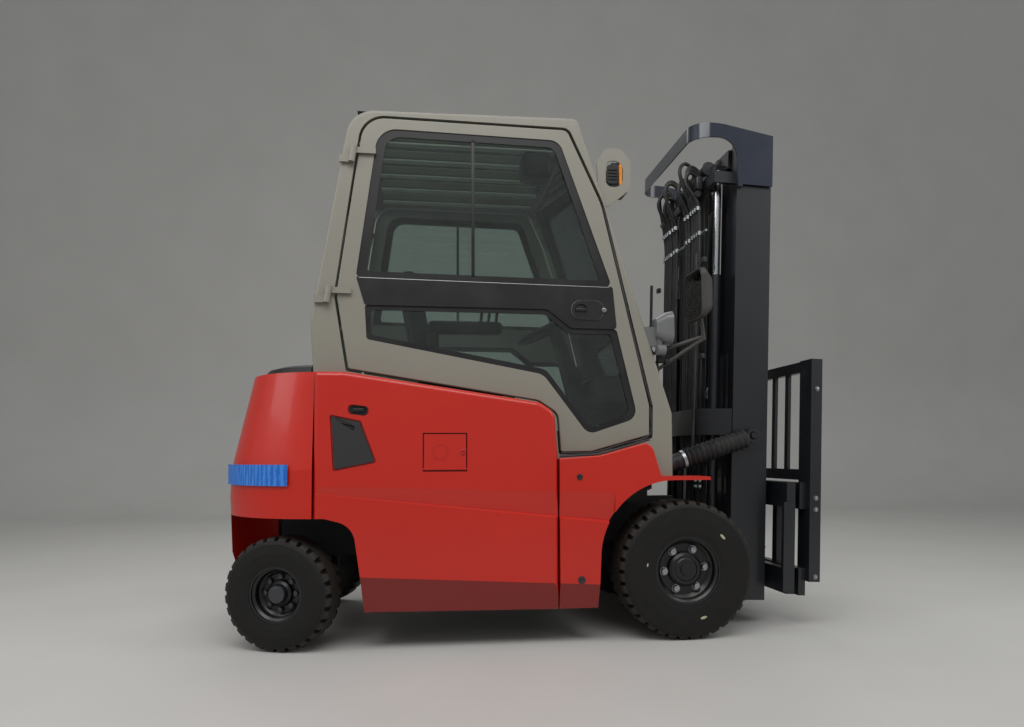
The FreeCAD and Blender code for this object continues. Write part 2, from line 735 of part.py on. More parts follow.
# Side panel: rounded along its top and front, with a louvre, a grip and the charging flap
side_plate = side_body("side_panel_plate", -1, side_panel_rows, panel_inner, dim.panel_thickness)
side_skin = rounded("side_panel_skin", side_plate, 20, on_outside(dim.body_half_width, dim.arch_height + 20))
louvre_depth = 14
louvre_top = dim.deck_height - 175
louvre_rows = [(170, louvre_top, 8), (292, louvre_top - 25, 8), (354, louvre_top - 191, 8),
               (184, louvre_top - 226, 8)]
grip_rows = [(240, dim.deck_height - 172, 18), (322, dim.deck_height - 182, 18),
             (322, dim.deck_height - 143, 18), (240, dim.deck_height - 133, 18)]
side_hollows = fused("side_panel_hollows", [
    side_body("louvre_recess", -1, louvre_rows, dim.body_half_width - louvre_depth, 30),
    side_body("grip_recess", -1, grip_rows, dim.body_half_width - 16, 30),
    sill_step,
    crease,
])
right_skin = less("side_panel_open", side_skin, side_hollows)
left_skin = mirrored(right_skin)
flap_low = dim.deck_height - 397
flap_high = dim.deck_height - 253
flap_rear, flap_front = 541, 710
flap_thickness = 8
flap_edge = 5
flap_pin_radius = 3
flap_pin = (flap_rear - 9, -dim.body_half_width + 4, flap_low + 3)
flap_pin_length = flap_front - flap_rear + 18
flap_recess = fused("flap_recess", [
    box("flap_pocket", flap_rear - flap_edge, flap_front + flap_edge, -dim.body_half_width - 10,
        -dim.body_half_width + 30, flap_low - flap_edge - 2, flap_high + flap_edge),
    rod("flap_pin_bore", "X", flap_pin[0] - 1, flap_pin[1], flap_pin[2],
        flap_pin_radius + dim.bearing_clearance, flap_pin_length + 2),
])
finish("side_panels", grouped("side_panel_pair",
                              [less("side_panel_right", right_skin, flap_recess), left_skin]))
finish("charge_flap", fused("charge_flap_solid", [
    box("charge_flap_plate", flap_rear, flap_front, -dim.body_half_width,
        -dim.body_half_width + flap_thickness, flap_low, flap_high),
    rod("flap_pin", "X", *flap_pin, flap_pin_radius, flap_pin_length),
]))

# Louvre: a plate with a wide slot near its top and narrow ones below
grille_rows = [(178, louvre_top - 8, 6), (286, louvre_top - 31, 6), (344, louvre_top - 184, 6),
               (190, louvre_top - 218, 6)]
grille = side_body("louvre_plate", -1, grille_rows, dim.body_half_width - louvre_depth + dim.seat_gap,
                   louvre_depth - 2)
slot_count = 11
slots = []
for i in range(1, slot_count):
    share = i / slot_count
    rear_x = 186 + share * 12
    front_x = 280 + share * 56
    rear_z = louvre_top - 10 - share * 205
    front_z = louvre_top - 33 - share * 150
    height = 11 if i == 1 else 5
    slots.append(side_body("louvre_slot_%d" % i, -1,
                           [(rear_x, rear_z - height), (front_x, front_z - height),
                            (front_x, front_z), (rear_x, rear_z)],
                           dim.body_half_width - 8, 20))
finish_pair("louvres", less("louvre_grille", grille, fused("louvre_slots", slots)))

# Front panel with the lip over the front tyre
fender_rows = [
    (fore(96), axle_height + 396),
    (fore(98), axle_height + 382),
    (fore(-368), axle_height + 382, 320),
    (fore(-380), axle_height + 20),
    (fore(-394), axle_height + 20),
    (fore(-382), axle_height + 396, 334),
]
fender_inner = 452
front_plate = side_body("front_panel_plate", -1, front_panel_rows, panel_inner, dim.panel_thickness)
front_skin = less("front_panel_skin",
                  rounded("front_panel_round", front_plate, 6,
                          on_outside(dim.body_half_width, axle_height + 410)),
                  fused("front_panel_hollows", [formed("sill_step_front", sill_step.Shape),
                                                formed("crease_front", crease.Shape)]))
fender = side_body("fender", -1, fender_rows, fender_inner, panel_inner - fender_inner + 1)
finish_pair("front_panels", fused("front_panel_solid", [front_skin, fender]))


# Cab

# Columns: along, up, corner radius
fender_top = axle_height + 396 + dim.seat_gap
cab_outer_rows = [
    (97, dim.deck_height + dim.seat_gap), (83, dim.deck_height + 214, 150),
    (238, dim.roof_height - 12, 120), (fore(-452), dim.roof_height + 8, 30),
    (fore(-45), dim.deck_height - 161, 60), (fore(-45), fender_top), (fore(-110), fender_top),
    (fore(-130), dim.deck_height - 371), (1150, dim.deck_height - 386, 30),
    (1052, dim.deck_height - 386, 30), (1052, dim.deck_height - 221, 30),
    (1000, dim.deck_height - 176, 30), (215, dim.deck_height - 60), (112, dim.deck_height - 60),
    (112, dim.deck_height + dim.seat_gap),
]
door_opening_rows = [
    (226, dim.deck_height + 5, 12), (176, dim.deck_height + 320, 150),
    (286, dim.roof_height - 32, 110), (fore(-492), dim.roof_height - 38, 40),
    (fore(-340), dim.roof_height - 363, 300), (fore(-132), dim.deck_height - 131, 60),
    (fore(-136), dim.deck_height - 269, 10), (1246, dim.deck_height - 337, 60),
    (1104, dim.deck_height - 337, 12), (1092, dim.deck_height - 171, 50),
    (1012, dim.deck_height - 121, 60),
]
cab_inner = dim.cab_half_width - dim.cab_wall
cab_plate = side_body("cab_side_plate", -1, cab_outer_rows, cab_inner, dim.cab_wall)
cab_round = rounded("cab_side_round", cab_plate, 12, on_outside(dim.cab_half_width, dim.deck_height + 20))
finish_sides("cab_side", less("cab_side_frame", cab_round,
                              side_body("door_opening", -1, door_opening_rows, cab_inner - 1,
                                        dim.cab_wall + 2)))

roof_parts = [
    box("roof_front_beam", fore(-510), fore(-440), -cab_inner + 0.3, cab_inner - 0.3,
        dim.roof_height - 55, dim.roof_height + 4),
    box("roof_rear_beam", 262, 330, -cab_inner + 0.3, cab_inner - 0.3,
        dim.roof_height - 62, dim.roof_height - 12),
]
bar_count = 5
for i in range(bar_count):
    across = 180 * (i - 2)
    roof_parts.append(padded_body(
        "roof_bar_%d" % i, "YZ_Plane",
        [(across - 17, dim.roof_height - 58, 8), (across + 17, dim.roof_height - 58, 8),
         (across + 17, dim.roof_height - 14, 8), (across - 17, dim.roof_height - 14, 8)],
        325, fore(-505) - 325))
sill_bar = box("rear_sill", 110, 170, -cab_inner + 0.3, cab_inner - 0.3,
               dim.deck_height + 0.3, dim.deck_height + 50)
finish("roof_frame", grouped("roof_frame_set", [fused("roof_frame_solid", roof_parts), sill_bar]))

# Panes
pane_half = cab_inner - dim.seat_gap
rear_bend = dim.deck_height + 279
rear_pane_rows = [(122, dim.deck_height + 51), (117, rear_bend, 60), (258, dim.roof_height - 86),
                  (263, dim.roof_height - 87), (122.5, rear_bend, 60), (127, dim.deck_height + 51)]
screen_rows = [(fore(-80), dim.deck_height - 136), (fore(-466), dim.roof_height - 66),
               (fore(-471), dim.roof_height - 68), (fore(-85), dim.deck_height - 137)]
finish("cab_glass", grouped("cab_glass_set", [
    formed("rear_window", side_prism(rear_pane_rows, -pane_half, pane_half)),
    formed("windscreen", side_prism(screen_rows, -pane_half, pane_half)),
    box("roof_pane", 262, fore(-445), -pane_half, pane_half, dim.roof_height + 4.3,
        dim.roof_height + 8),
]))

# Doors: a leaf with two windows, hung on two hinges along the sloping rear post
door_rows = [
    (236, dim.deck_height + 14, 10), (186, dim.deck_height + 321, 150),
    (294, dim.roof_height - 42, 102), (fore(-500), dim.roof_height - 48, 34),
    (fore(-352), dim.roof_height - 366, 300), (fore(-148), dim.deck_height - 129, 52),
    (fore(-150), dim.deck_height - 255, 8), (1246, dim.deck_height - 325, 60),
    (1114, dim.deck_height - 327, 10), (1103, dim.deck_height - 165, 50),
    (1020, dim.deck_height - 110, 60),
]
window_upper_rows = [
    (264, dim.deck_height + 397, 12), (352, dim.roof_height - 86, 90),
    (1115, dim.roof_height - 96, 60), (fore(-308), dim.deck_height + 381, 20),
]
window_lower_rows = [
    (300, dim.deck_height + 279, 12), (308, dim.deck_height + 137, 14),
    (1040, dim.deck_height + 1, 70), (1232, dim.deck_height - 253, 50),
    (1450, dim.deck_height - 181, 50), (1360, dim.deck_height + 199, 20),
    (1160, dim.deck_height + 201, 30), (1060, dim.deck_height + 279, 40),
]


def pane(name, rows, y_from):
    """A pane that stands clear of the edge of its opening."""
    face = Part.Face(wire(rows, on_side(y_from))).makeOffset2D(-float(dim.seat_gap))
    return formed(name, face.extrude(Vec(0, float(dim.glass_thickness), 0)))


hinge_y = -float(dim.cab_half_width) - 15
hinge_low = Vec(154, hinge_y, float(dim.deck_height) + 315)
hinge_high = Vec(250, hinge_y, float(dim.roof_height) - 206)
hinge_line = (hinge_high - hinge_low).normalize()
hinge_pin_radius = 6
knuckle_radius = 13
knuckle_length = 34


def along_hinge(start, from_length, to_length, radius):
    return Part.makeCylinder(radius, to_length - from_length, start + hinge_line * from_length,
                             hinge_line)


def hinge_leaf(start, reach, rise, drop, lift):
    """The plate of a hinge leaf, from the pin along the panel and clear of it by lift."""
    near = start.x + hinge_line.x * (rise + drop) / 2
    low, high = sorted((near, near + reach))
    depth = -dim.cab_half_width.value - lift - start.y - 2
    return Part.makeBox(high - low, depth, rise - drop, Vec(low, start.y + 2, start.z + drop))


hinge_fixed = []
hinge_moving = []
pin_hole = hinge_pin_radius + float(dim.bearing_clearance)
for name, start in (("low", hinge_low), ("high", hinge_high)):
    fixed = along_hinge(start, -knuckle_length, 0, knuckle_radius)
    fixed = fixed.fuse(hinge_leaf(start, -52, -4, -knuckle_length, float(dim.seat_gap)))
    fixed = fixed.fuse(along_hinge(start, -knuckle_length, knuckle_length + 4, hinge_pin_radius))
    hinge_fixed.append(formed("hinge_fixed_" + name, fixed))
    moving = along_hinge(start, float(dim.seat_gap), knuckle_length, knuckle_radius)
    moving = moving.fuse(hinge_leaf(start, 90, knuckle_length - 4, 6, 3))
    foot_x = start.x + 46
    moving = moving.fuse(Part.makeBox(42, 16, knuckle_length - 10,
                                      Vec(foot_x, start.y + 4, start.z + 6)))
    moving = moving.cut(along_hinge(start, -1, knuckle_length + 1, pin_hole))
    hinge_moving.append(formed("hinge_moving_" + name, moving))
finish_pair("door_hinges", grouped("hinges_fixed", hinge_fixed))
door_inner = dim.cab_half_width - dim.door_thickness
door_plate = side_body("door_plate", -1, door_rows, door_inner, dim.door_thickness)
door_windows = fused("door_windows", [
    side_body("door_window_" + name, -1, rows, door_inner - 1, dim.door_thickness + 2)
    for name, rows in (("upper", window_upper_rows), ("lower", window_lower_rows))
])
door_leaf = less("door_leaf", rounded("door_round", door_plate, 5,
                                      on_outside(dim.cab_half_width, 0)), door_windows)
# Oval handle plate on the rail between the windows, hollowed behind its grip
handle_low = dim.deck_height + 237
handle_high = dim.deck_height + 319
handle = side_body("door_handle_plate", -1,
                   [(1162, handle_low, 40), (1306, handle_low, 40), (1306, handle_high, 40),
                    (1162, handle_high, 40)], dim.cab_half_width - 2, 7)
handle_hollow = side_body("door_handle_hollow", -1,
                          [(1176, handle_low + 14, 24), (1232, handle_low + 14, 10),
                           (1232, handle_high - 14, 10), (1176, handle_high - 14, 24)],
                          dim.cab_half_width - 8, 20)
finish_sides("door", less("door_solid", fused("door_set", [door_leaf, handle] + hinge_moving),
                          handle_hollow))
pane_inner = -(dim.cab_half_width - 9)
panes = [pane("door_pane_upper", window_upper_rows, pane_inner),
         pane("door_pane_lower", window_lower_rows, pane_inner)]
finish_sides("door_glass", grouped("door_glass_right", panes))

# Seat on the battery cover, steering column and dashboard
room_half = cab_inner - 1
finish("battery_cover", fused("battery_cover_solid", [
    box("battery_cover_box", 112, 1060, -room_half, room_half, dim.deck_height - 221 + dim.seat_gap,
        dim.deck_height - 131),
    formed("seat_base", side_prism(
        [(470, dim.deck_height - 141), (495, dim.deck_height - 61, 15), (905, dim.deck_height - 61, 15),
         (930, dim.deck_height - 141)], -200, 200)),
]))
floor_low = dim.tilt_base_height - 75
floor_high = floor_low + 15
pedals = [
    formed("pedal_" + name, side_prism(
        [(1452, floor_high - 2), (1466, floor_high - 2), (1500, floor_high + 96, 5),
         (1484, floor_high + 104, 5)], y - 38, y + 38))
    for name, y in (("brake", -95), ("drive", -200))
]
finish("cab_floor", fused("cab_floor_solid", [
    box("floor_rear", 1075, 1345, -room_half, room_half, floor_low, floor_high),
    box("floor_front", 1340, fore(-80), -350, 350, floor_low, floor_high),
    box("cowl_low", fore(-86), fore(-70), -350, 350, floor_low + 5, dim.tilt_base_height + 105),
    formed("cowl_shape", side_prism(
        [(fore(-86), dim.tilt_base_height + 95), (fore(-70), dim.tilt_base_height + 95),
         (fore(-70), dim.deck_height - 161), (fore(-180), dim.deck_height - 101, 8),
         (fore(-190), dim.deck_height - 116), (fore(-86), dim.deck_height - 173)],
        20 - cab_inner, cab_inner - 20)),
] + pedals))
seat_low = dim.deck_height - 60.7
cushion_rear = (490, seat_low + 80)
cushion_rise = 0.115


def cushion_top(x):
    """Height of the cushion's rear part, on which the back stands."""
    return cushion_rear[1] + cushion_rise * (x - cushion_rear[0])


finish("seat_cushion", formed("seat_cushion_block", side_prism(
    [(500, seat_low, 20), (*cushion_rear, 30), (620, cushion_top(620), 40),
     (900, seat_low + 108, 30), (972, seat_low + 86, 34), (955, seat_low, 24)], -245, 245)))
finish("seat_back", formed("seat_back_block", side_prism(
    [(512, cushion_top(512) + 0.3), (415, seat_low + 590, 45), (515, seat_low + 600, 45),
     (600, seat_low + 150, 70), (588, cushion_top(588) + 0.3)], -232, 232)))
column_foot = floor_high + dim.seat_gap
finish("steering_column", formed("column_tube", side_prism(
    [(fore(-230), column_foot), (1181, 1401.7), (1221, 1420.2), (fore(-140), column_foot)], -45, 45)))
ring = Part.makeTorus(185, 14)
spokes = Part.makeBox(370, 30, 8, Vec(-185, -15, -4)).fuse(Part.makeCylinder(40, 30, Vec(0, 0, -15)))
wheel_shape = ring.fuse(spokes)
wheel_piece = formed("steering_wheel_ring", wheel_shape)
wheel_piece.Placement = FreeCAD.Placement(Vec(1195, 0, 1425), FreeCAD.Rotation(Vec(0, 1, 0), -25))
finish("steering_wheel", grouped("steering_wheel_set", [wheel_piece]))


# Lamps and mirrors on the front posts

def post_front(z):
    """How far forward the sloping front post reaches at a height."""
    top, foot = cab_outer_rows[3], cab_outer_rows[4]
    share = (z - float(foot[1])) / (float(top[1]) - float(foot[1]))
    return float(foot[0]) + share * (float(top[0]) - float(foot[0]))


def bracket(name, front, y_from, y_to, z_from, z_to):
    """A plate from the front post's sloping face forwards."""
    rows = [(post_front(z_from) + 0.4, z_from), (front, z_from), (front, z_to),
            (post_front(z_to) + 0.4, z_to)]
    return formed(name, side_prism(rows, y_from, y_to))


def strut(name, start, end, radius):
    """A round bar between two points."""
    along = Vec(*end) - Vec(*start)
    return formed(name, Part.makeCylinder(radius, along.Length, Vec(*start), along))


# Work lamp: a lamp beside an oval guard plate that stands on the post
lamp_z = float(dim.roof_height) - 231
guard_plate_rows = [(post_front(lamp_z - 139) + 0.4, lamp_z - 139), (1342, lamp_z - 131, 30),
                    (1430, lamp_z - 60, 60), (1437, lamp_z + 70, 60), (1390, lamp_z + 121, 30),
                    (1325, lamp_z + 121, 30), (1284, lamp_z + 60, 60),
                    (post_front(lamp_z - 40) + 0.4, lamp_z - 40)]
lamp_plate = side_prism(guard_plate_rows, -546, -538)
lamp_plate = lamp_plate.cut(side_prism(
    [(1322, lamp_z - 50, 30), (1400, lamp_z - 50, 38), (1400, lamp_z + 66, 38),
     (1322, lamp_z + 66, 30)], -550, -530))
lamp_case = prism([(-535, lamp_z - 68, 24), (-445, lamp_z - 68, 24), (-445, lamp_z + 62, 24),
                   (-535, lamp_z + 62, 24)], on_front(1352), Vec(70, 0, 0))
lamp_yoke = Part.makeBox(24, 20, 40, Vec(1394, -545, lamp_z + 40))
finish_pair("work_lamps", formed("work_lamp", lamp_plate.fuse(lamp_yoke).fuse(lamp_case)))

# Headlamp: a rounded case on the post with a small lamp under it
beam_z = float(dim.roof_height) - 896


def lamp_outline(x, half_y, half_z, radius):
    middle = -540
    return wire([(middle - half_y, beam_z - half_z, radius), (middle + half_y, beam_z - half_z, radius),
                 (middle + half_y, beam_z + half_z, radius), (middle - half_y, beam_z + half_z, radius)],
                on_front(x))


headlamp_case = Part.makeLoft([lamp_outline(1535, 34, 40, 24), lamp_outline(1575, 56, 66, 36),
                               lamp_outline(1604, 60, 72, 38)], True, True)
headlamp_case = headlamp_case.cut(Part.makeLoft(
    [lamp_outline(1596, 53, 65, 31), lamp_outline(1606, 55, 67, 33)], True, True))
finish_pair("headlamps", fused("headlamp", [
    formed("headlamp_case", headlamp_case),
    rod("marker_lamp_case", "X", 1536, -568, beam_z - 98, 23, 36),
    box("marker_lamp_link", 1545, 1565, -560, -545, beam_z - 90, beam_z - 30),
    bracket("headlamp_bracket", 1560, -550, -530, beam_z - 80, beam_z + 5),
]))
mirror_z = float(dim.roof_height) - 761


def mirror_outline(x, half_y, half_z, radius):
    return wire([(-600 - half_y, mirror_z - half_z, radius), (-600 + half_y, mirror_z - half_z, radius),
                 (-600 + half_y, mirror_z + half_z, radius), (-600 - half_y, mirror_z + half_z, radius)],
                on_front(x))


mirror_head = Part.makeLoft([mirror_outline(1690, 93, 106, 34), mirror_outline(1712, 95, 107, 36),
                             mirror_outline(1748, 66, 76, 30)], True, True)
finish_pair("mirrors", fused("mirror", [
    formed("mirror_head", mirror_head),
    bracket("mirror_foot_upper", 1535, -521, -505, mirror_z - 265, mirror_z - 225),
    bracket("mirror_foot_lower", 1560, -521, -505, mirror_z - 335, mirror_z - 275),
    strut("mirror_arm_upper", (1525, -513, mirror_z - 245), (1735, -600, mirror_z - 175), 8),
    strut("mirror_arm_lower", (1550, -513, mirror_z - 315), (1735, -600, mirror_z - 185), 8),
    strut("mirror_post", (1735, -600, mirror_z - 191), (1722, -600, mirror_z - 90), 9),
]))


# Mast: three nested stages, upright in their own frame and leaned at the pivot

def channel_rows(outside, front, rear, side):
    """Section of one channel seen from above; the flanges point to the middle."""
    inner_web = outside - dim.channel_web
    tip = outside - dim.channel_reach
    flange = dim.channel_flange
    rows = [
        (rear, outside), (front, outside), (front, tip), (front - flange, tip),
        (front - flange, inner_web), (rear + flange, inner_web), (rear + flange, tip), (rear, tip),
    ]
    if side < 0:
        rows = [(x, -y) for x, y in reversed(rows)]
    return rows


def both_sides(name, x_from, x_to, y_from, y_to, z_from, z_to):
    """Two blocks, one on each side of the middle plane. y_from is the nearer to the middle."""
    return [
        box(name + "_r", x_from, x_to, -y_to, -y_from, z_from, z_to),
        box(name + "_l", x_from, x_to, y_from, y_to, z_from, z_to),
    ]


def both_rods(name, x, y_from, length, z, radius):
    """Two round bars along Y, one on each side of the middle plane."""
    return [
        rod(name + "_r", "Y", x, -(y_from + length), z, radius, length),
        rod(name + "_l", "Y", x, y_from, z, radius, length),
    ]


def both_posts(name, x, y, z_from, z_to, radius):
    """Two upright round bars, one on each side of the middle plane."""
    return [rod("%s_%s" % (name, tag), "Z", x, y * side, z_from, radius, z_to - z_from)
            for tag, side in SIDES]


rear = dim.mast_rear
mast_front = dim.mast_rear + dim.mast_depth
outside = [dim.mast_half_width]
for stage in (1, 2):
    outside.append(outside[-1] - dim.channel_reach - dim.stage_gap)
# Columns: stage, rise of its lower end, rise of its upper end
STAGES = [("outer", 0, 0), ("middle", 25, -12), ("inner", 50, -24)]
channels = {}
stage_low = {}
stage_high = {}
for number, (stage, low_rise, high_rise) in enumerate(STAGES):
    stage_low[stage] = dim.mast_bottom + low_rise
    stage_high[stage] = dim.mast_top + high_rise
    channels[stage] = [
        padded_body("%s_channel_%s" % (stage, tag), "XY_Plane",
                    channel_rows(outside[number], mast_front - dim.stage_step * number,
                                 rear + dim.stage_step * number, side),
                    stage_low[stage], stage_high[stage] - stage_low[stage])
        for tag, side in SIDES
    ]

def rollers(name, number, y_from, z):
    """A pair of rollers that run between the flanges of a stage's channels."""
    room = dim.mast_depth - dim.stage_step * (2 * number) - dim.channel_flange * 2
    y_to = outside[number] - dim.channel_web - 3
    return both_rods(name, rear + dim.mast_depth / 2, y_from, y_to - y_from, z,
                     room / 2 - dim.seat_gap)


# Outer stage: tied across behind the lift cylinders, hung on the drive axle
tie_rear = rear - 103
tie_thickness = 25
leg_inner = outside[0] - 40
pieces = channels["outer"]
# Columns: name, lower edge, upper edge
for name, z_from, z_to in (("low", dim.mast_bottom + 30, dim.mast_bottom + 150),
                           ("high", dim.mast_top - 204, dim.mast_top - 150)):
    pieces.append(box("outer_tie_" + name, tie_rear, tie_rear + tie_thickness,
                      -(outside[0] - 20), outside[0] - 20, z_from, z_to))
    pieces += both_sides("outer_tie_leg_" + name, tie_rear + 5, rear + 5, leg_inner,
                         leg_inner + 20, z_from, z_to)
foot_inner = 292
foot_width = 30
pieces += both_sides("foot_bar", 60, rear - 20, foot_inner, foot_inner + foot_width, -60, 70)
pieces += both_sides("foot_plate", rear - 48, rear + 3, foot_inner + 25, outside[0] - 5, -60, 70)
pieces += both_rods("foot_collar", 0, foot_inner, foot_width, 0, 128)
pieces += both_sides("cylinder_foot", tie_rear + 20, rear - 20, 235, leg_inner + 5,
                     dim.mast_bottom + 30, dim.mast_bottom + 45)
# Rounded plates that carry the tilt pins
tilt_plate_rows = [
    (dim.tilt_pin_forward - 34, dim.tilt_pin_up - 70, 12),
    (dim.tilt_pin_forward + 34, dim.tilt_pin_up - 70, 12),
    (dim.tilt_pin_forward + 34, dim.tilt_pin_up + 40, 33.9),
    (dim.tilt_pin_forward - 34, dim.tilt_pin_up + 40, 33.9),
]
pieces += [side_body("tilt_plate_" + tag, side, tilt_plate_rows, outside[0] - 2, 8)
           for tag, side in SIDES]
pieces += both_rods("tilt_pin", dim.tilt_pin_forward, outside[0] - 1, 48, dim.tilt_pin_up,
                    dim.tilt_pin_radius)
# Folded brace: flat across the back, then slanting forward to the channels
brace_rear = 150
brace_low, brace_high = 590, 715
brace_fold = 270
brace_rows = [
    (rear + 5, -(outside[0] - 6)), (brace_rear, -brace_fold, 12), (brace_rear, brace_fold, 12),
    (rear + 5, outside[0] - 6), (rear + 5, outside[0] - 17), (brace_rear + 8, brace_fold - 5, 6),
    (brace_rear + 8, 5 - brace_fold, 6), (rear + 5, -(outside[0] - 17)),
]
pieces.append(padded_body("brace", "XY_Plane", brace_rows, brace_low, brace_high - brace_low))
bore = rod("foot_bore", "Y", 0, -330, 0, dim.axle_radius + dim.bearing_clearance, 660)
finish("outer_mast", less("outer_mast_cut", fused("outer_mast_solid", pieces), bore), MAST)

# Guard: a band round the mast's head whose sides come down over the channels
guard_rear = 63
guard_out = float(outside[0]) + 14
guard_low = float(dim.mast_top) - 13
guard_rise = 75
guard_front = float(mast_front)
guard_plan = [(guard_rear, -guard_out, 90), (guard_front, -guard_out), (guard_front, guard_out),
              (guard_rear, guard_out, 90)]
guard_hole = [(guard_rear + 6, -guard_out + 6, 84), (guard_front + 9, -guard_out + 6),
              (guard_front + 9, guard_out - 6), (guard_rear + 6, guard_out - 6, 84)]
cheek_low = guard_low - 205
guard_side = [(guard_rear - 5, guard_low), (guard_rear - 5, guard_low + guard_rise),
              (guard_rear + 140, guard_low + guard_rise, 300), (guard_front + 5, guard_low + 38),
              (guard_front + 5, cheek_low), (rear, cheek_low), (rear - 14, guard_low + 14, 90)]
band = prism(guard_plan, on_floor(cheek_low), Vec(0, 0, guard_low + guard_rise - cheek_low))
band = band.cut(prism(guard_hole, on_floor(cheek_low - 1),
                      Vec(0, 0, guard_low + guard_rise - cheek_low + 2)))
band = band.common(side_prism(guard_side, -guard_out - 5, guard_out + 5))
guard_legs = both_sides("guard_leg", rear, rear + 22, outside[0] + dim.seat_gap, guard_out,
                        dim.mast_top - 230, guard_low + 5)
finish("mast_guard", fused("mast_guard_solid", [formed("mast_guard_band", band)] + guard_legs), MAST)

# Main lift cylinders on the outer stage; their rods carry the middle stage
lift_x = rear - 45
lift_y = 262
barrel_low = dim.mast_bottom + 45
barrel_high = dim.mast_bottom + 1530
head_low = dim.mast_top - 112
barrels = less("lift_barrels_cut",
               fused("lift_barrels", both_posts("lift_barrel", lift_x, lift_y,
                                                barrel_low + dim.seat_gap, barrel_high, 26)),
               fused("lift_bores", both_posts("lift_bore", lift_x, lift_y, barrel_low + 20,
                                              barrel_high + 10,
                                              18 + dim.bearing_clearance)))
finish("lift_cylinders", barrels, MAST)
finish("lift_rods", fused("lift_rod_pair", both_posts("lift_rod", lift_x, lift_y, barrel_low + 30,
                                                      head_low - dim.seat_gap, 18)), MAST)

# Middle stage, with the heads that the rods push and the chains and hoses it carries
middle_rear = rear + dim.stage_step
middle_tie_rear = middle_rear - 20
pieces = channels["middle"]
for name, z_from in (("low", stage_low["middle"] + 30), ("high", stage_high["middle"] - 100)):
    pieces.append(box("middle_tie_" + name, middle_tie_rear, middle_rear + 1,
                      -(outside[1] - 4), outside[1] - 4, z_from, z_from + 90))
pieces += both_sides("lift_head", rear - 64, middle_tie_rear + 5, lift_y - 18, lift_y + 18, head_low,
                     head_low + 24)
pieces += rollers("middle_roller", 0, outside[1] - 5, stage_low["middle"] + 75)
sheave_radius = 36
sheave_z = stage_high["middle"] - 20
pieces += both_rods("hose_sheave", middle_tie_rear - 12, 12, 96, sheave_z, sheave_radius)
finish("middle_mast", fused("middle_mast_solid", pieces), MAST)
strand_back = middle_tie_rear - dim.seat_gap
chain_thickness = 13
finish("lift_chains", grouped("lift_chain_pair", both_sides(
    "lift_chain", strand_back - chain_thickness, strand_back, 195, 215,
    stage_low["middle"] + 40, stage_high["middle"] - 20)), MAST)
hose_radius = 9
hose_low = stage_low["middle"] + 50
finish("mast_hoses", grouped("mast_hose_set", [
    rod("mast_hose_%d" % i, "Z", strand_back - hose_radius, -90 + 60 * i,
        hose_low, hose_radius, sheave_z - sheave_radius - dim.seat_gap - hose_low)
    for i in range(4)
]), MAST)

# Inner stage with the free-lift cylinder in its middle
inner_rear = rear + dim.stage_step * 2
inner_tip = outside[2] - dim.channel_reach
free_x = mast_front - 75
free_foot = stage_low["inner"] + 30
free_barrel = free_foot + 15
free_top = free_barrel + 850
pieces = channels["inner"]
for name, z_from in (("low", free_foot), ("high", stage_high["inner"] - 100)):
    pieces.append(box("inner_tie_" + name, inner_rear, inner_rear + 16, -(inner_tip + 5),
                      inner_tip + 5, z_from, z_from + 90))
pieces.append(box("free_lift_foot", inner_rear + 5, free_x + 50, -60, 60, free_foot, free_barrel))
pieces += rollers("inner_roller", 1, outside[2] - 5, stage_low["inner"] + 75)
finish("inner_mast", fused("inner_mast_solid", pieces), MAST)
free_rod_radius = 25
finish("free_lift_cylinder", less(
    "free_lift_cylinder_cut",
    rod("free_lift_barrel", "Z", free_x, 0, free_barrel + dim.seat_gap, 45, 850),
    rod("free_lift_bore", "Z", free_x, 0, free_barrel + 20, free_rod_radius + dim.bearing_clearance,
        860)), MAST)
finish("free_lift_rod", fused("free_lift_rod_solid", [
    rod("free_lift_bar", "Z", free_x, 0, free_barrel + 30, free_rod_radius, 850),
    box("free_lift_head", free_x - 18, free_x + 18, -110, 110, free_top + 20, free_top + 70),
] + both_rods("free_lift_sheave", free_x, 62, 30, free_top + 45, 44)), MAST)

# Carriage
carriage_half = dim.carriage_width / 2
carriage_top = dim.carriage_bottom + dim.carriage_height
carriage_bar = mast_front + 42
bar_height = 110
cheek_outer = inner_tip - dim.stage_gap
pieces = both_sides("carriage_cheek", mast_front - 110, carriage_bar + 5, cheek_outer - 25,
                    cheek_outer, dim.carriage_bottom + 10, carriage_top + 60)
for name, z in (("lower", dim.carriage_bottom + 10), ("upper", carriage_top - bar_height)):
    pieces.append(box("carriage_bar_" + name, carriage_bar, carriage_bar + 40,
                      -(carriage_half - 10), carriage_half - 10, z, z + bar_height))
pieces += both_sides("carriage_end", carriage_bar - 18, carriage_bar + 35, carriage_half - 20,
                     carriage_half, dim.carriage_bottom + 20, carriage_top - 90)
for name, z in (("low", dim.carriage_bottom + 70), ("high", carriage_top - 10)):
    pieces += rollers("carriage_roller_" + name, 2, cheek_outer - 5, z)
finish("carriage", fused("carriage_solid", pieces), MAST)

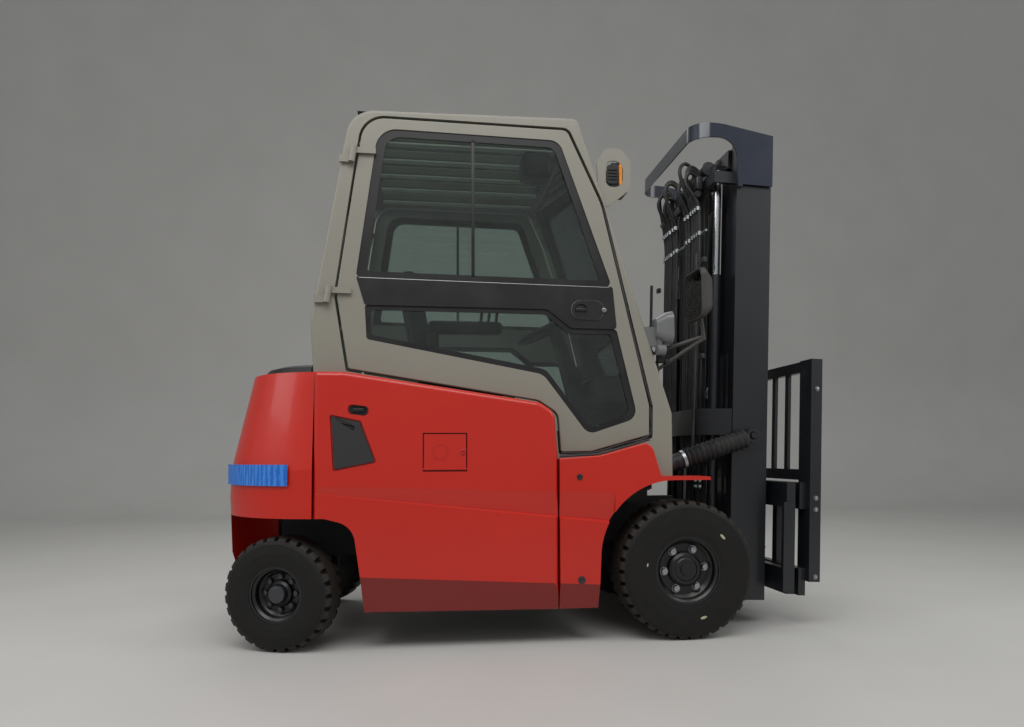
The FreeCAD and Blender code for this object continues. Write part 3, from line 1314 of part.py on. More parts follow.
# Side shifter in front of it, and the load backrest that stands on the shifter
shifter_rear = dim.fork_face - 40
shifter_height = 120
upright_seat = 8
upright_width = 98
pieces = []
for name, z in (("lower", dim.carriage_bottom), ("upper", carriage_top - shifter_height)):
    pieces.append(box("shifter_bar_" + name, shifter_rear, dim.fork_face - upright_seat,
                      -(carriage_half - 30), carriage_half - 30, z, z + shifter_height))
    pieces.append(box("fork_face_" + name, shifter_rear, dim.fork_face,
                      -(carriage_half - upright_width - 4), carriage_half - upright_width - 4,
                      z, z + shifter_height))
pieces += both_sides("shifter_tie", shifter_rear + 5, dim.fork_face - 8, 220, 260,
                     dim.carriage_bottom + 60, carriage_top - 60)
pieces += both_sides("shifter_slide", carriage_bar + 40 + dim.seat_gap, shifter_rear + 1, 220, 300,
                     carriage_top - 100, carriage_top - 20)
pieces += both_sides("shifter_slide_low", carriage_bar + 40 + dim.seat_gap, shifter_rear + 1, 220,
                     300, dim.carriage_bottom + 20, dim.carriage_bottom + 100)
finish("side_shifter", fused("side_shifter_solid", pieces), MAST)

upright_x = dim.fork_face - upright_seat + dim.seat_gap
pieces = both_sides("backrest_upright", upright_x, dim.backrest_reach,
                    carriage_half - upright_width, carriage_half, dim.carriage_bottom + 66,
                    dim.backrest_top)
for i in range(5):
    y = -250 + 125 * i
    pieces.append(box("backrest_bar_%d" % i, dim.fork_face + 12, dim.fork_face + 27, y - 15, y + 15,
                      carriage_top + 20, dim.backrest_top - 10))
for name, z in (("top", dim.backrest_top - 50), ("low", carriage_top + 10)):
    pieces.append(box("backrest_rail_" + name, dim.fork_face + 5, dim.fork_face + 33,
                      -(carriage_half - 50), carriage_half - 50, z, z + 50))
finish("backrest", fused("backrest_solid", pieces), MAST)

# Tilt cylinders, from the chassis to the outer mast, each with a bellows on its rod
tilt_base = (fore(dim.tilt_base_forward), dim.tilt_base_height)
lean = math.radians(float(dim.mast_lean))
pin_x = (float(dim.wheelbase) + float(dim.tilt_pin_forward) * math.cos(lean)
         + float(dim.tilt_pin_up) * math.sin(lean))
pin_z = (float(axle_height) - float(dim.tilt_pin_forward) * math.sin(lean)
         + float(dim.tilt_pin_up) * math.cos(lean))
run_x = pin_x - float(tilt_base[0])
run_z = pin_z - float(tilt_base[1])
tilt_length = math.hypot(run_x, run_z)
tilt_slope = math.degrees(math.atan2(run_z, run_x))
tilt_frame = FreeCAD.Placement(
    Vec(float(tilt_base[0]), -float(dim.tilt_half_width), float(tilt_base[1])),
    FreeCAD.Rotation(Vec(0, 1, 0), -tilt_slope))


def along_cylinder(start, end, radius):
    return Part.makeCylinder(radius, end - start, Vec(start, 0, 0), Vec(1, 0, 0))


def eye(at, radius, width, bore):
    """A round eye across the cylinder, and the hole to cut in it."""
    return (Part.makeCylinder(radius, width, Vec(at, -width / 2, 0), Vec(0, 1, 0)),
            Part.makeCylinder(bore, width + 2, Vec(at, -width / 2 - 1, 0), Vec(0, 1, 0)))


pin_radius = float(dim.tilt_pin_radius)
barrel_end = 230
tilt_rod_radius = 16
bearing = float(dim.bearing_clearance)
base_eye, base_hole = eye(0, 27, 26, pin_radius + bearing)
barrel = along_cylinder(45, barrel_end, 30).fuse(base_eye)
barrel = barrel.fuse(Part.makeBox(40, 26, 36, Vec(10, -13, -18))).cut(base_hole)
barrel = barrel.cut(along_cylinder(50, barrel_end + 1, tilt_rod_radius + bearing))
barrel_piece = formed("tilt_barrel", barrel)
barrel_piece.Placement = tilt_frame
finish_sides("tilt_cylinder", barrel_piece)
# The rod's eye is wider than its pin, for the straight-line drive of this closed linkage
rod_eye, rod_hole = eye(tilt_length, 32, 24, pin_radius + 4)
bellows_start, bellows_end = 110, tilt_length - 131
stem = along_cylinder(114, tilt_length - 20, tilt_rod_radius).fuse(rod_eye)
stem = stem.fuse(Part.makeBox(70, 24, 36, Vec(tilt_length - 90, -12, -18))).cut(rod_hole)
rib_count = 9
rib_pitch = (bellows_end - bellows_start - 14) / rib_count
bellows_rows = [(bellows_start, 35.5), (bellows_start, 39), (bellows_start + 14, 39),
                (bellows_start + 14, 36.5)]
for i in range(rib_count):
    rib_start = bellows_start + 14 + i * rib_pitch
    bellows_rows += [(rib_start + rib_pitch / 2, 39), (rib_start + rib_pitch, 36.5)]
bellows_rows += [(bellows_end, tilt_rod_radius - 1), (bellows_end - 12, tilt_rod_radius - 1),
                 (bellows_end - 12, 35.5)]
bellows_points = [Vec(along, 0, radius) for along, radius in bellows_rows]
bellows = Part.Face(Part.makePolygon(bellows_points + bellows_points[:1])).revolve(
    Vec(), Vec(1, 0, 0), 360)
bar_piece = formed("tilt_rod_bar", stem.fuse(bellows))
bar_piece.Placement = tilt_frame
finish_sides("tilt_rod", bar_piece)


# Write the sub-parts

doc.recompute()
spans = [piece.Shape.BoundBox for piece in nodes]
middle = (min(span.XMin for span in spans) + max(span.XMax for span in spans)) / 2
sheet.set(ORIGIN_CELL, "%.4f" % middle)
doc.recompute()

faults = []
for thing in doc.Objects:
    if "Invalid" in thing.State or "Error" in thing.State:
        faults.append("%s: %s" % (thing.Name, thing.State))
for piece in nodes:
    if piece.Shape.isNull() or not piece.Shape.isValid() or not piece.Shape.Solids:
        faults.append("%s has no valid solid" % piece.Label)
if faults:
    raise RuntimeError("; ".join(faults))

os.makedirs("parts", exist_ok=True)
for piece in nodes:
    piece.Shape.exportStep(os.path.join("parts", piece.Label + ".step"))
print("sub-parts:", len(nodes))
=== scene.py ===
import math

import bmesh
import bpy
from mathutils import Matrix, Vector


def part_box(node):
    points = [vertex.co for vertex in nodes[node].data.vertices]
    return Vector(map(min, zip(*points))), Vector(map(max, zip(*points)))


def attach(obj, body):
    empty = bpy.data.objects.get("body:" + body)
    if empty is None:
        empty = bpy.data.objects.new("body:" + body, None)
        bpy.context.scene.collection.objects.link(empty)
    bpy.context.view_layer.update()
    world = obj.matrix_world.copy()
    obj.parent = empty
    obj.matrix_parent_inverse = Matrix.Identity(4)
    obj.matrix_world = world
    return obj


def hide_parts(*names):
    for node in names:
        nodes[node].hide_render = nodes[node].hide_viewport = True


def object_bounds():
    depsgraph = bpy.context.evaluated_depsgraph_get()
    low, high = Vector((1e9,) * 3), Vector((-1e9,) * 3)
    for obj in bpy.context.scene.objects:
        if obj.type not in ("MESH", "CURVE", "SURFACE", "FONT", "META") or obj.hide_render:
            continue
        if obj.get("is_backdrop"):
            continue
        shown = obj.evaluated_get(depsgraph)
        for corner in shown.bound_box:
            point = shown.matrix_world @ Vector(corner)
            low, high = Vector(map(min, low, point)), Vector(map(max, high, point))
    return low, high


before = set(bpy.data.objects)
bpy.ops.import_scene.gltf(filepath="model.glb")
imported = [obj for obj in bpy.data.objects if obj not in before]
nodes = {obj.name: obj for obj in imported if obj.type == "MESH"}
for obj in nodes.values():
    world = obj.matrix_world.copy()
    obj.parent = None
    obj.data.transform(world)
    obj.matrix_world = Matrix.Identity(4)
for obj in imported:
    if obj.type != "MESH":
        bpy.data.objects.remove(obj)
cad_box = [list(corner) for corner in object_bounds()]


# ---- Floor, light and camera
# A pale sealed floor that curves up into a backdrop, lit by large soft panels.
# The camera stands low at the truck's right side, a little behind its middle.

def linear(hex_colour):
    """An sRGB hex colour as the linear values that a shader takes."""
    parts = [int(hex_colour[i:i + 2], 16) / 255 for i in (1, 3, 5)]
    return tuple(p / 12.92 if p <= 0.04045 else ((p + 0.055) / 1.055) ** 2.4 for p in parts) + (1.0,)


def add(tree, kind, inputs=None, **settings):
    """Adds a node: its settings by name, its inputs as plain values or as links."""
    made = tree.nodes.new(kind)
    for name, value in settings.items():
        setattr(made, name, value)
    for name, value in (inputs or {}).items():
        if isinstance(value, bpy.types.NodeSocket):
            tree.links.new(value, made.inputs[name])
        else:
            made.inputs[name].default_value = value
    return made


def new_material(name):
    """An empty material with its tree and the object's own coordinates, in metres."""
    material = bpy.data.materials.new(name)
    material.use_nodes = True
    tree = material.node_tree
    tree.nodes.clear()
    place = add(tree, "ShaderNodeTexCoord").outputs["Object"]
    return material, tree, place


def show(tree, shader):
    add(tree, "ShaderNodeOutputMaterial", {"Surface": shader.outputs[0]})


floor_finish, tree, place = new_material("floor_paint")
cloud = add(tree, "ShaderNodeTexNoise", {"Vector": place, "Scale": 1.3, "Detail": 5.0})
tone = add(tree, "ShaderNodeValToRGB", {"Fac": cloud.outputs["Fac"]})
tone.color_ramp.elements[0].color = linear("#BDBCB8")
tone.color_ramp.elements[1].color = linear("#C9C8C4")
show(tree, add(tree, "ShaderNodeBsdfPrincipled", {
    "Base Color": tone.outputs["Color"], "Roughness": 0.55}))

low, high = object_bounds()
floor_half = 30.0
backdrop_start = 6.0
bend_radius = 2.5
wall_height = 20
shell = bmesh.new()
bmesh.ops.create_grid(shell, x_segments=1, y_segments=1, size=floor_half)
bmesh.ops.translate(shell, verts=shell.verts, vec=(0, backdrop_start - floor_half, low[2]))
far_edge = [e for e in shell.edges if all(v.co.y > backdrop_start - 1 for v in e.verts)]
rise = bmesh.ops.spin(shell, geom=far_edge + list({v for e in far_edge for v in e.verts}),
                      cent=(0, backdrop_start, low[2] + bend_radius), axis=(1, 0, 0),
                      angle=math.radians(90), steps=16)
top_edge = [g for g in rise["geom_last"] if isinstance(g, bmesh.types.BMEdge)]
wall = bmesh.ops.extrude_edge_only(shell, edges=top_edge)
bmesh.ops.translate(shell, verts=[g for g in wall["geom"] if isinstance(g, bmesh.types.BMVert)],
                    vec=(0, 0, wall_height))
bmesh.ops.recalc_face_normals(shell, faces=shell.faces)
mesh = bpy.data.meshes.new("floor")
shell.to_mesh(mesh)
shell.free()
mesh.shade_smooth()
mesh.materials.append(floor_finish)
floor = bpy.data.objects.new("floor", mesh)
bpy.context.scene.collection.objects.link(floor)
floor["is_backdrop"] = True

lit_spot = Vector((0, 0, 0.9))
# Columns: where the panel hangs, its width and depth, watts
for spot, size, watts in [
    ((-0.6, -3.4, 5.0), (4.5, 2.5), 140),
    ((3.8, -2.2, 3.4), (2.2, 2.6), 42),
    ((-4.0, -1.6, 3.2), (2.2, 2.6), 38),
    ((0.0, 2.8, 5.2), (5.0, 2.0), 75),
]:
    panel = bpy.data.lights.new("soft_panel", "AREA")
    panel.shape = "RECTANGLE"
    panel.size, panel.size_y = size
    panel.energy = watts
    lamp = bpy.data.objects.new("soft_panel", panel)
    lamp.location = spot
    lamp.rotation_euler = (lit_spot - Vector(spot)).to_track_quat("-Z", "Y").to_euler()
    bpy.context.scene.collection.objects.link(lamp)

world = bpy.data.worlds.new("studio")
bpy.context.scene.world = world
world.use_nodes = True
world.node_tree.nodes["Background"].inputs["Color"].default_value = linear("#EDEEF0")
world.node_tree.nodes["Background"].inputs["Strength"].default_value = 0.42

eye = bpy.data.cameras.new("camera")
eye.sensor_width = 36.0
eye.lens = 24.65
eye.shift_y = 0.060
camera = bpy.data.objects.new("camera", eye)
# The directions to the right of the view and into it; up follows from the two
right = Vector((0.99094, -0.13427, -0.00407)).normalized()
ahead = Vector((0.13432, 0.98997, 0.04381)).normalized()
up = right.cross(ahead)
turn = Matrix((right, up, -ahead)).transposed().to_4x4()
camera.matrix_world = Matrix.Translation((-0.5085, -3.4581, 0.780)) @ turn
bpy.context.scene.collection.objects.link(camera)
bpy.context.scene.camera = camera
bpy.context.scene.view_settings.view_transform = "Standard"


# ---- Body panels, cab frame and mast: sprayed steel
# Sheet and cast parts are sprayed: a glossy red for the body, a warm grey for the cab and a
# half-matt black for the mast and the frame. Dust settles on faces that look up, and faces that
# lean down are painted darker, a painted shade for the shadow under them.

def sprayed(name, colour, dull, gloss, clear, peel_mm, dust, shade_and_grime="#1A1614"):
    """Sprayed enamel: its colour drifts, with orange peel, dust above and a painted shade below."""
    material, tree, place = new_material(name)
    drift = add(tree, "ShaderNodeTexNoise", {"Vector": place, "Scale": 2.2, "Detail": 4.0})
    tone = add(tree, "ShaderNodeMix", {0: drift.outputs["Fac"], 6: linear(colour), 7: linear(dull)},
               data_type="RGBA")
    looks = add(tree, "ShaderNodeSeparateXYZ", {0: add(tree, "ShaderNodeNewGeometry").outputs["Normal"]})
    patch = add(tree, "ShaderNodeTexNoise", {"Vector": place, "Scale": 9.0, "Detail": 8.0, "Roughness": 0.7})
    settle = add(tree, "ShaderNodeMapRange", {
        "Value": looks.outputs["Z"], "From Min": 0.3, "From Max": 1.0, "To Max": dust})
    film = add(tree, "ShaderNodeMath", {0: settle.outputs[0], 1: patch.outputs["Fac"]}, operation="MULTIPLY")
    dusted = add(tree, "ShaderNodeMix", {0: film.outputs[0], 6: tone.outputs[2], 7: linear("#9C9488")},
                 data_type="RGBA")
    # Faces that lean down are painted darker: a painted shade that stands for the shadow under them
    under = add(tree, "ShaderNodeMapRange", {
        "Value": looks.outputs["Z"], "From Min": -0.17, "From Max": -0.21, "To Max": 0.66})
    shaded_below = add(tree, "ShaderNodeMix", {0: under.outputs[0], 6: dusted.outputs[2], 7: linear(shade_and_grime)},
                 data_type="RGBA")
    rough = add(tree, "ShaderNodeMapRange", {
        "Value": patch.outputs["Fac"], "To Min": gloss - 0.06, "To Max": gloss + 0.10})
    rough = add(tree, "ShaderNodeMath", {0: rough.outputs[0], 1: film.outputs[0]}, operation="ADD")
    peel = add(tree, "ShaderNodeTexNoise", {
        "Vector": place, "Scale": 500 / peel_mm, "Detail": 2.0})
    bump = add(tree, "ShaderNodeBump", {
        "Height": peel.outputs["Fac"], "Strength": 0.12, "Distance": 0.0006})
    show(tree, add(tree, "ShaderNodeBsdfPrincipled", {
        "Base Color": shaded_below.outputs[2], "Roughness": rough.outputs[0], "IOR": 1.5,
        "Coat Weight": clear, "Coat Roughness": 0.08, "Normal": bump.outputs[0]}))
    return material


def coat(material, *names):
    """Gives CAD nodes their finish, which replaces the plain one they came with."""
    for name in names:
        for held in nodes[name].material_slots:
            held.material = material


# Columns: name, colour, second colour, roughness, clear coat, orange peel in mm, dust, painted shade colour
# below
red_enamel = sprayed("red_enamel", "#C82009", "#BC1B07", 0.34, 0.25, 5.0, 0.12, "#2E0805")
grey_enamel = sprayed("warm_grey_enamel", "#8D8A7E", "#848176", 0.42, 0.10, 4.0, 0.12, "#5A5850")
mast_enamel = sprayed("black_mast_enamel", "#15171B", "#1B1D22", 0.36, 0.25, 3.0, 0.22)
# The guard's blue tint is a painted reflection of the sky on its black enamel; the gloss and clear coat are
# its own
guard_enamel = sprayed("black_guard_enamel_painted_sky_blue", "#141B29", "#1B2434", 0.22, 0.55, 3.0, 0.10)
frame_enamel = sprayed("black_frame_enamel", "#151517", "#1F1F21", 0.60, 0.0, 3.0, 0.45)
coat(red_enamel, "counterweight", "side_panels", "front_panels", "charge_flap")
coat(grey_enamel, "cab_side_r", "cab_side_l", "roof_frame", "door_r", "door_l", "door_hinges")
coat(mast_enamel, "outer_mast", "middle_mast", "inner_mast", "carriage", "side_shifter",
     "backrest", "lift_cylinders", "free_lift_cylinder")
coat(guard_enamel, "mast_guard")
coat(frame_enamel, "chassis", "drive_axle", "steer_axle", "knuckle_r", "knuckle_l", "steer_rod",
     "cab_floor", "battery")


# ---- Rods, pins and small hardware
# Hydraulic rods are ground and hard-chromed; bolts, pins and clamps are zinc plated.

def plated(name, colour, gloss, lay_mm):
    """A plated or ground metal with fine lines round its length."""
    material, tree, place = new_material(name)
    lines = add(tree, "ShaderNodeTexNoise", {"Vector": place, "Scale": 1000 / lay_mm, "Detail": 3.0})
    rough = add(tree, "ShaderNodeMapRange", {
        "Value": lines.outputs["Fac"], "To Min": gloss - 0.05, "To Max": gloss + 0.08})
    bump = add(tree, "ShaderNodeBump", {"Height": lines.outputs["Fac"], "Strength": 0.05, "Distance": 0.0003})
    show(tree, add(tree, "ShaderNodeBsdfPrincipled", {
        "Base Color": linear(colour), "Metallic": 1.0, "Roughness": rough.outputs[0],
        "Normal": bump.outputs[0]}))
    return material


chrome = plated("hard_chrome", "#C9CBCE", 0.16, 2.0)
zinc = plated("zinc_plate", "#A9ACAE", 0.34, 3.0)
dark_steel = plated("oiled_steel", "#55565A", 0.42, 3.0)
coat(chrome, "lift_rods", "free_lift_rod")
coat(zinc, "tow_pin")
coat(dark_steel, "lift_chains")


# ---- Tyres
# Solid lugged rubber, moulded in one with rings round the sidewall. Floor dust greys the tread.

rim_low, rim_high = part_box("front_rim_r")
front_axle = (rim_low[0] + rim_high[0]) / 2
wheelbase = 1.650
rear_axle = front_axle - wheelbase
front_wheel_z = (rim_low[2] + rim_high[2]) / 2
rear_rim_low, rear_rim_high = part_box("rear_rim_r")
rear_wheel_z = (rear_rim_low[2] + rear_rim_high[2]) / 2
steer_turn = math.radians(-18)
kingpin_y = 0.395
wheel_offset = 0.080
front_radius = 0.2925
rear_radius = 0.2285


def moulded(name, colour, gloss, grain_mm, depth, dust=0.2, dusty="#7E7A72"):
    """Moulded plastic or rubber: a fine grain, with dust in patches."""
    material, tree, place = new_material(name)
    patch = add(tree, "ShaderNodeTexNoise", {"Vector": place, "Scale": 7.0, "Detail": 8.0, "Roughness": 0.65})
    share = add(tree, "ShaderNodeMapRange", {
        "Value": patch.outputs["Fac"], "From Min": 0.42, "From Max": 0.80, "To Max": dust})
    tone = add(tree, "ShaderNodeMix", {0: share.outputs[0], 6: linear(colour), 7: linear(dusty)},
               data_type="RGBA")
    grain = add(tree, "ShaderNodeTexNoise", {"Vector": place, "Scale": 500 / grain_mm, "Detail": 3.0})
    rough = add(tree, "ShaderNodeMapRange", {
        "Value": patch.outputs["Fac"], "To Min": gloss - 0.08, "To Max": gloss + 0.12})
    bump = add(tree, "ShaderNodeBump", {"Height": grain.outputs["Fac"], "Strength": 0.5, "Distance": depth})
    show(tree, add(tree, "ShaderNodeBsdfPrincipled", {
        "Base Color": tone.outputs[2], "Roughness": rough.outputs[0], "IOR": 1.5,
        "Normal": bump.outputs[0]}))
    return material


def tyre_rubber(name, centre, turn, radius):
    """Tyre rubber, with rings and scuffs that follow the wheel's own axis."""
    material, tree, place = new_material(name)
    wheel = add(tree, "ShaderNodeMapping", {"Vector": place, "Location": centre, "Rotation": (0, 0, turn)},
                vector_type="TEXTURE")
    flat = add(tree, "ShaderNodeVectorMath", {0: wheel.outputs[0], 1: (1, 0, 1)}, operation="MULTIPLY")
    out = add(tree, "ShaderNodeVectorMath", {0: flat.outputs[0]}, operation="LENGTH")
    worn = add(tree, "ShaderNodeMapRange", {
        "Value": out.outputs["Value"], "From Min": radius - 0.020, "From Max": radius - 0.002})
    scuff = add(tree, "ShaderNodeTexNoise", {"Vector": place, "Scale": 22.0, "Detail": 8.0, "Roughness": 0.7})
    film = add(tree, "ShaderNodeMath", {0: worn.outputs[0], 1: 0.5, 2: 0.12}, operation="MULTIPLY_ADD")
    film = add(tree, "ShaderNodeMath", {0: film.outputs[0], 1: scuff.outputs["Fac"]}, operation="MULTIPLY")
    tone = add(tree, "ShaderNodeMix", {0: film.outputs[0], 6: linear("#0A0A0B"), 7: linear("#544E46")},
               data_type="RGBA")
    rings = add(tree, "ShaderNodeTexWave", {"Vector": wheel.outputs[0], "Scale": 40.0, "Distortion": 0.0},
                wave_type="RINGS", rings_direction="Y")
    ringed = add(tree, "ShaderNodeBump", {
        "Height": rings.outputs["Fac"], "Strength": 0.25, "Distance": 0.001})
    grain = add(tree, "ShaderNodeTexNoise", {"Vector": place, "Scale": 180.0, "Detail": 3.0})
    bump = add(tree, "ShaderNodeBump", {
        "Height": grain.outputs["Fac"], "Strength": 0.5, "Distance": 0.0006, "Normal": ringed.outputs[0]})
    show(tree, add(tree, "ShaderNodeBsdfPrincipled", {
        "Base Color": tone.outputs[2], "Roughness": 0.62, "IOR": 1.36, "Normal": bump.outputs[0]}))
    return material


front_rubber = tyre_rubber("front_tyre_rubber", (front_axle, 0, front_wheel_z), 0, front_radius)
coat(front_rubber, "front_tyre_r", "front_tyre_l")
for tag, side in (("r", -1), ("l", 1)):
    rubber = tyre_rubber("rear_tyre_rubber_" + tag, (rear_axle, kingpin_y * side, rear_wheel_z),
                         steer_turn, rear_radius)
    coat(rubber, "rear_tyre_" + tag)


# ---- Rims, wheel bolts and hubs
# Pressed steel rims in black enamel. The front ones hang on six bolts with collars round a deep
# hub with a flanged shaft end, the rear ones on eight nuts round a dark grease cap. Pale paint
# marks sit on the front tyres' sidewalls.

rim_enamel = sprayed("black_rim_enamel", "#060607", "#0C0C0E", 0.36, 0.10, 3.0, 0.10)
coat(rim_enamel, "front_rim_r", "front_rim_l", "rear_rim_r", "rear_rim_l")
paint_mark = sprayed("paint_mark", "#BDB79F", "#A8A28C", 0.6, 0.0, 2.0, 0.0, "#A8A28C")
both_sides = (("right", -1), ("left", 1))
front_rim_y = 0.500
wheel_bolts = 6
bolt_circle = 0.0905
wheel_nuts = 8
nut_circle = 0.0665


def put(name, shape, material, body):
    """Makes a bmesh a piece of the truck that moves with a body."""
    bmesh.ops.remove_doubles(shape, verts=shape.verts, dist=0.00002)
    bmesh.ops.recalc_face_normals(shape, faces=shape.faces)
    mesh = bpy.data.meshes.new(name)
    shape.to_mesh(mesh)
    shape.free()
    mesh.shade_smooth()
    mesh.set_sharp_from_angle(angle=math.radians(34))
    mesh.materials.append(material)
    piece = bpy.data.objects.new(name, mesh)
    bpy.context.scene.collection.objects.link(piece)
    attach(piece, body)
    return piece


def join(shape, part, at):
    """Adds a finished part to a shape, placed by a matrix."""
    bmesh.ops.transform(part, matrix=at, verts=part.verts)
    held = bpy.data.meshes.new("held")
    part.to_mesh(held)
    part.free()
    shape.from_mesh(held)
    bpy.data.meshes.remove(held)


def facing(side, spot):
    """Places a part that looks along -Y so that it looks out at the truck's side."""
    half_turn = math.pi if side > 0 else 0
    return Matrix.Translation(spot) @ Matrix.Rotation(half_turn, 4, "Z")


def turned(shape, profile, at, sides=24):
    """Adds a part turned about the Y axis, in metres. Rows: along Y, radius."""
    part = bmesh.new()
    points = [part.verts.new((0, along, radius)) for along, radius in profile]
    edges = [part.edges.new(pair) for pair in zip(points, points[1:])]
    bmesh.ops.spin(part, geom=points + edges, cent=(0, 0, 0), axis=(0, 1, 0), angle=math.tau,
                   steps=sides, use_merge=True)
    bmesh.ops.remove_doubles(part, verts=part.verts, dist=0.00015)
    bmesh.ops.recalc_face_normals(part, faces=part.faces)
    join(shape, part, at)


def hex_bolt(shape, at, across, height, collar):
    """Adds a six-sided head on a round collar; it looks along -Y before at places it."""
    turned(shape, [(0, 0.0001), (0, collar), (-0.004, collar), (-0.004, across * 0.55)], at, 18)
    turned(shape, [(-0.003, across / 2), (-height, across / 2), (-height - 0.001, across / 2 - 0.002),
                   (-height - 0.001, 0.0001)], at, 6)


for tag, side in both_sides:
    wheel = facing(side, (front_axle, front_rim_y * side, front_wheel_z))
    hardware = bmesh.new()
    for i in range(wheel_bolts):
        spin = Matrix.Rotation((i + 0.42) * math.tau / wheel_bolts, 4, "Y")
        hex_bolt(hardware, wheel @ spin @ Matrix.Translation((0, -0.049, bolt_circle)),
                 0.027, 0.018, 0.0175)
    put("front_wheel_bolts_" + tag, hardware, zinc, "front_wheel_" + tag)
    cap = bmesh.new()
    turned(cap, [(-0.0662, 0.049), (-0.074, 0.049), (-0.077, 0.045), (-0.077, 0.026), (-0.083, 0.024),
                 (-0.083, 0.0001)], wheel, 40)
    put("front_hub_cap_" + tag, cap, rim_enamel, "front_wheel_" + tag)
    marks = bmesh.new()
    # Columns: degrees round the wheel, metres from its centre, the mark's radius
    for degrees, out, radius in ((43, 0.205, 0.011), (171, 0.184, 0.006), (-73, 0.205, 0.011)):
        spot = wheel @ Matrix.Rotation(math.radians(-degrees), 4, "Y") @ Matrix.Translation((out, -0.1116, 0))
        turned(marks, [(0.001, radius), (-0.0008, radius), (-0.0008, 0.0001)],
               spot @ Matrix.Diagonal((0.5, 1, 1.3, 1)), 20)
    put("front_tyre_marks_" + tag, marks, paint_mark, "front_wheel_" + tag)
    knuckle = (Matrix.Translation((rear_axle, kingpin_y * side, rear_wheel_z))
               @ Matrix.Rotation(steer_turn, 4, "Z") @ facing(side, (0, wheel_offset * side, 0)))
    nuts = bmesh.new()
    for i in range(wheel_nuts):
        spin = Matrix.Rotation(i * math.tau / wheel_nuts, 4, "Y")
        hex_bolt(nuts, knuckle @ spin @ Matrix.Translation((0, -0.017, nut_circle)),
                 0.022, 0.014, 0.0135)
    put("rear_wheel_nuts_" + tag, nuts, dark_steel, "rear_wheel_" + tag)
    cap = bmesh.new()
    turned(cap, [(-0.043, 0.040), (-0.052, 0.040), (-0.062, 0.034), (-0.066, 0.022), (-0.066, 0.0001)],
           knuckle, 32)
    put("rear_grease_cap_" + tag, cap, dark_steel, "rear_wheel_" + tag)


# ---- Cab trim: moulded plastic
# Injection-moulded parts in near-black, with a fine even grain and a low sheen. The work
# lamps' guards are sprayed like the cab.

black_plastic = moulded("black_plastic", "#08080A", 0.44, 0.8, 0.0004, 0.06)
dark_trim = moulded("textured_dark_trim", "#232325", 0.58, 1.4, 0.0008, 0.15)
coat(black_plastic, "counterweight_cap", "steering_wheel")
coat(grey_enamel, "work_lamps")
coat(dark_trim, "steering_column", "battery_cover")


def place_at(x, y, z):
    """A place in millimetres: from the rear axle, from the middle and from the floor."""
    return Vector((rear_axle + x / 1000, y / 1000, z / 1000))


def rounded(rows, steps=6):
    """An outline in millimetres with round corners. Rows: along, up, corner radius."""
    points = []
    closest = 0.05
    for i, row in enumerate(rows):
        corner = Vector(row[:2])
        back = (Vector(rows[i - 1][:2]) - corner).normalized()
        on = (Vector(rows[(i + 1) % len(rows)][:2]) - corner).normalized()
        angle = back.angle(on)
        reach = row[2] / math.tan(angle / 2)
        heart = corner + (back + on).normalized() * (row[2] / math.sin(angle / 2))
        start = corner + back * reach - heart
        end = corner + on * reach - heart
        sweep = start.angle_signed(end, 0)
        for k in range(steps + 1):
            point = heart + Matrix.Rotation(-sweep * k / steps, 2) @ start
            if not points or (point - points[-1]).length > closest:
                points.append(point)
    if (points[0] - points[-1]).length < closest:
        points.pop()
    return points


def oblong(low, high, radius):
    """The rows of an outline with four equal corners, from two opposite ones."""
    return [(low[0], low[1], radius), (high[0], low[1], radius),
            (high[0], high[1], radius), (low[0], high[1], radius)]


def side_plate(shape, rows, side, inner, outer, hole=None):
    """Adds an upright plate, with a hole or without, between two distances from the middle."""
    part = bmesh.new()
    rim = [part.verts.new(place_at(x, outer * side, z)) for x, z in rounded(rows)]
    ring = [part.edges.new(pair) for pair in zip(rim, rim[1:] + rim[:1])]
    if hole:
        gap = [part.verts.new(place_at(x, outer * side, z)) for x, z in rounded(hole)]
        ring += [part.edges.new(pair) for pair in zip(gap, gap[1:] + gap[:1])]
        bmesh.ops.triangle_fill(part, edges=ring, use_beauty=True)
    else:
        part.faces.new(rim)
    bmesh.ops.recalc_face_normals(part, faces=part.faces)
    made = bmesh.ops.extrude_face_region(part, geom=part.faces[:])
    moved = [g for g in made["geom"] if isinstance(g, bmesh.types.BMVert)]
    bmesh.ops.translate(part, verts=moved, vec=(0, (inner - outer) * side / 1000, 0))
    join(shape, part, Matrix.Identity(4))


def tube(shape, path, radius, sides=10, steps=6):
    """Adds a round hose or wire along points in millimetres, smoothed between them."""
    knots = [place_at(*p) for p in path]
    points = []
    for i in range(len(knots) - 1):
        a, b = knots[i], knots[i + 1]
        before = knots[i - 1] if i else a * 2 - b
        after = knots[i + 2] if i + 2 < len(knots) else b * 2 - a
        for k in range(steps):
            t = k / steps
            points.append(0.5 * (2 * a + (b - before) * t + (2 * before - 5 * a + 4 * b - after) * t * t
                                 + (3 * a - before - 3 * b + after) * t ** 3))
    points.append(knots[-1])
    part = bmesh.new()
    rings = []
    normal = (points[1] - points[0]).orthogonal().normalized()
    for i, point in enumerate(points):
        along = (points[min(i + 1, len(points) - 1)] - points[max(i - 1, 0)]).normalized()
        normal = (normal - along * normal.dot(along)).normalized()
        across = along.cross(normal)
        rings.append([part.verts.new(point + (normal * math.cos(a) + across * math.sin(a)) * radius / 1000)
                      for a in (math.tau * k / sides for k in range(sides))])
    for first, second in zip(rings, rings[1:]):
        for k in range(sides):
            part.faces.new((first[k], first[k - 1], second[k - 1], second[k]))
    part.faces.new(rings[0])
    part.faces.new(rings[-1])
    join(shape, part, Matrix.Identity(4))


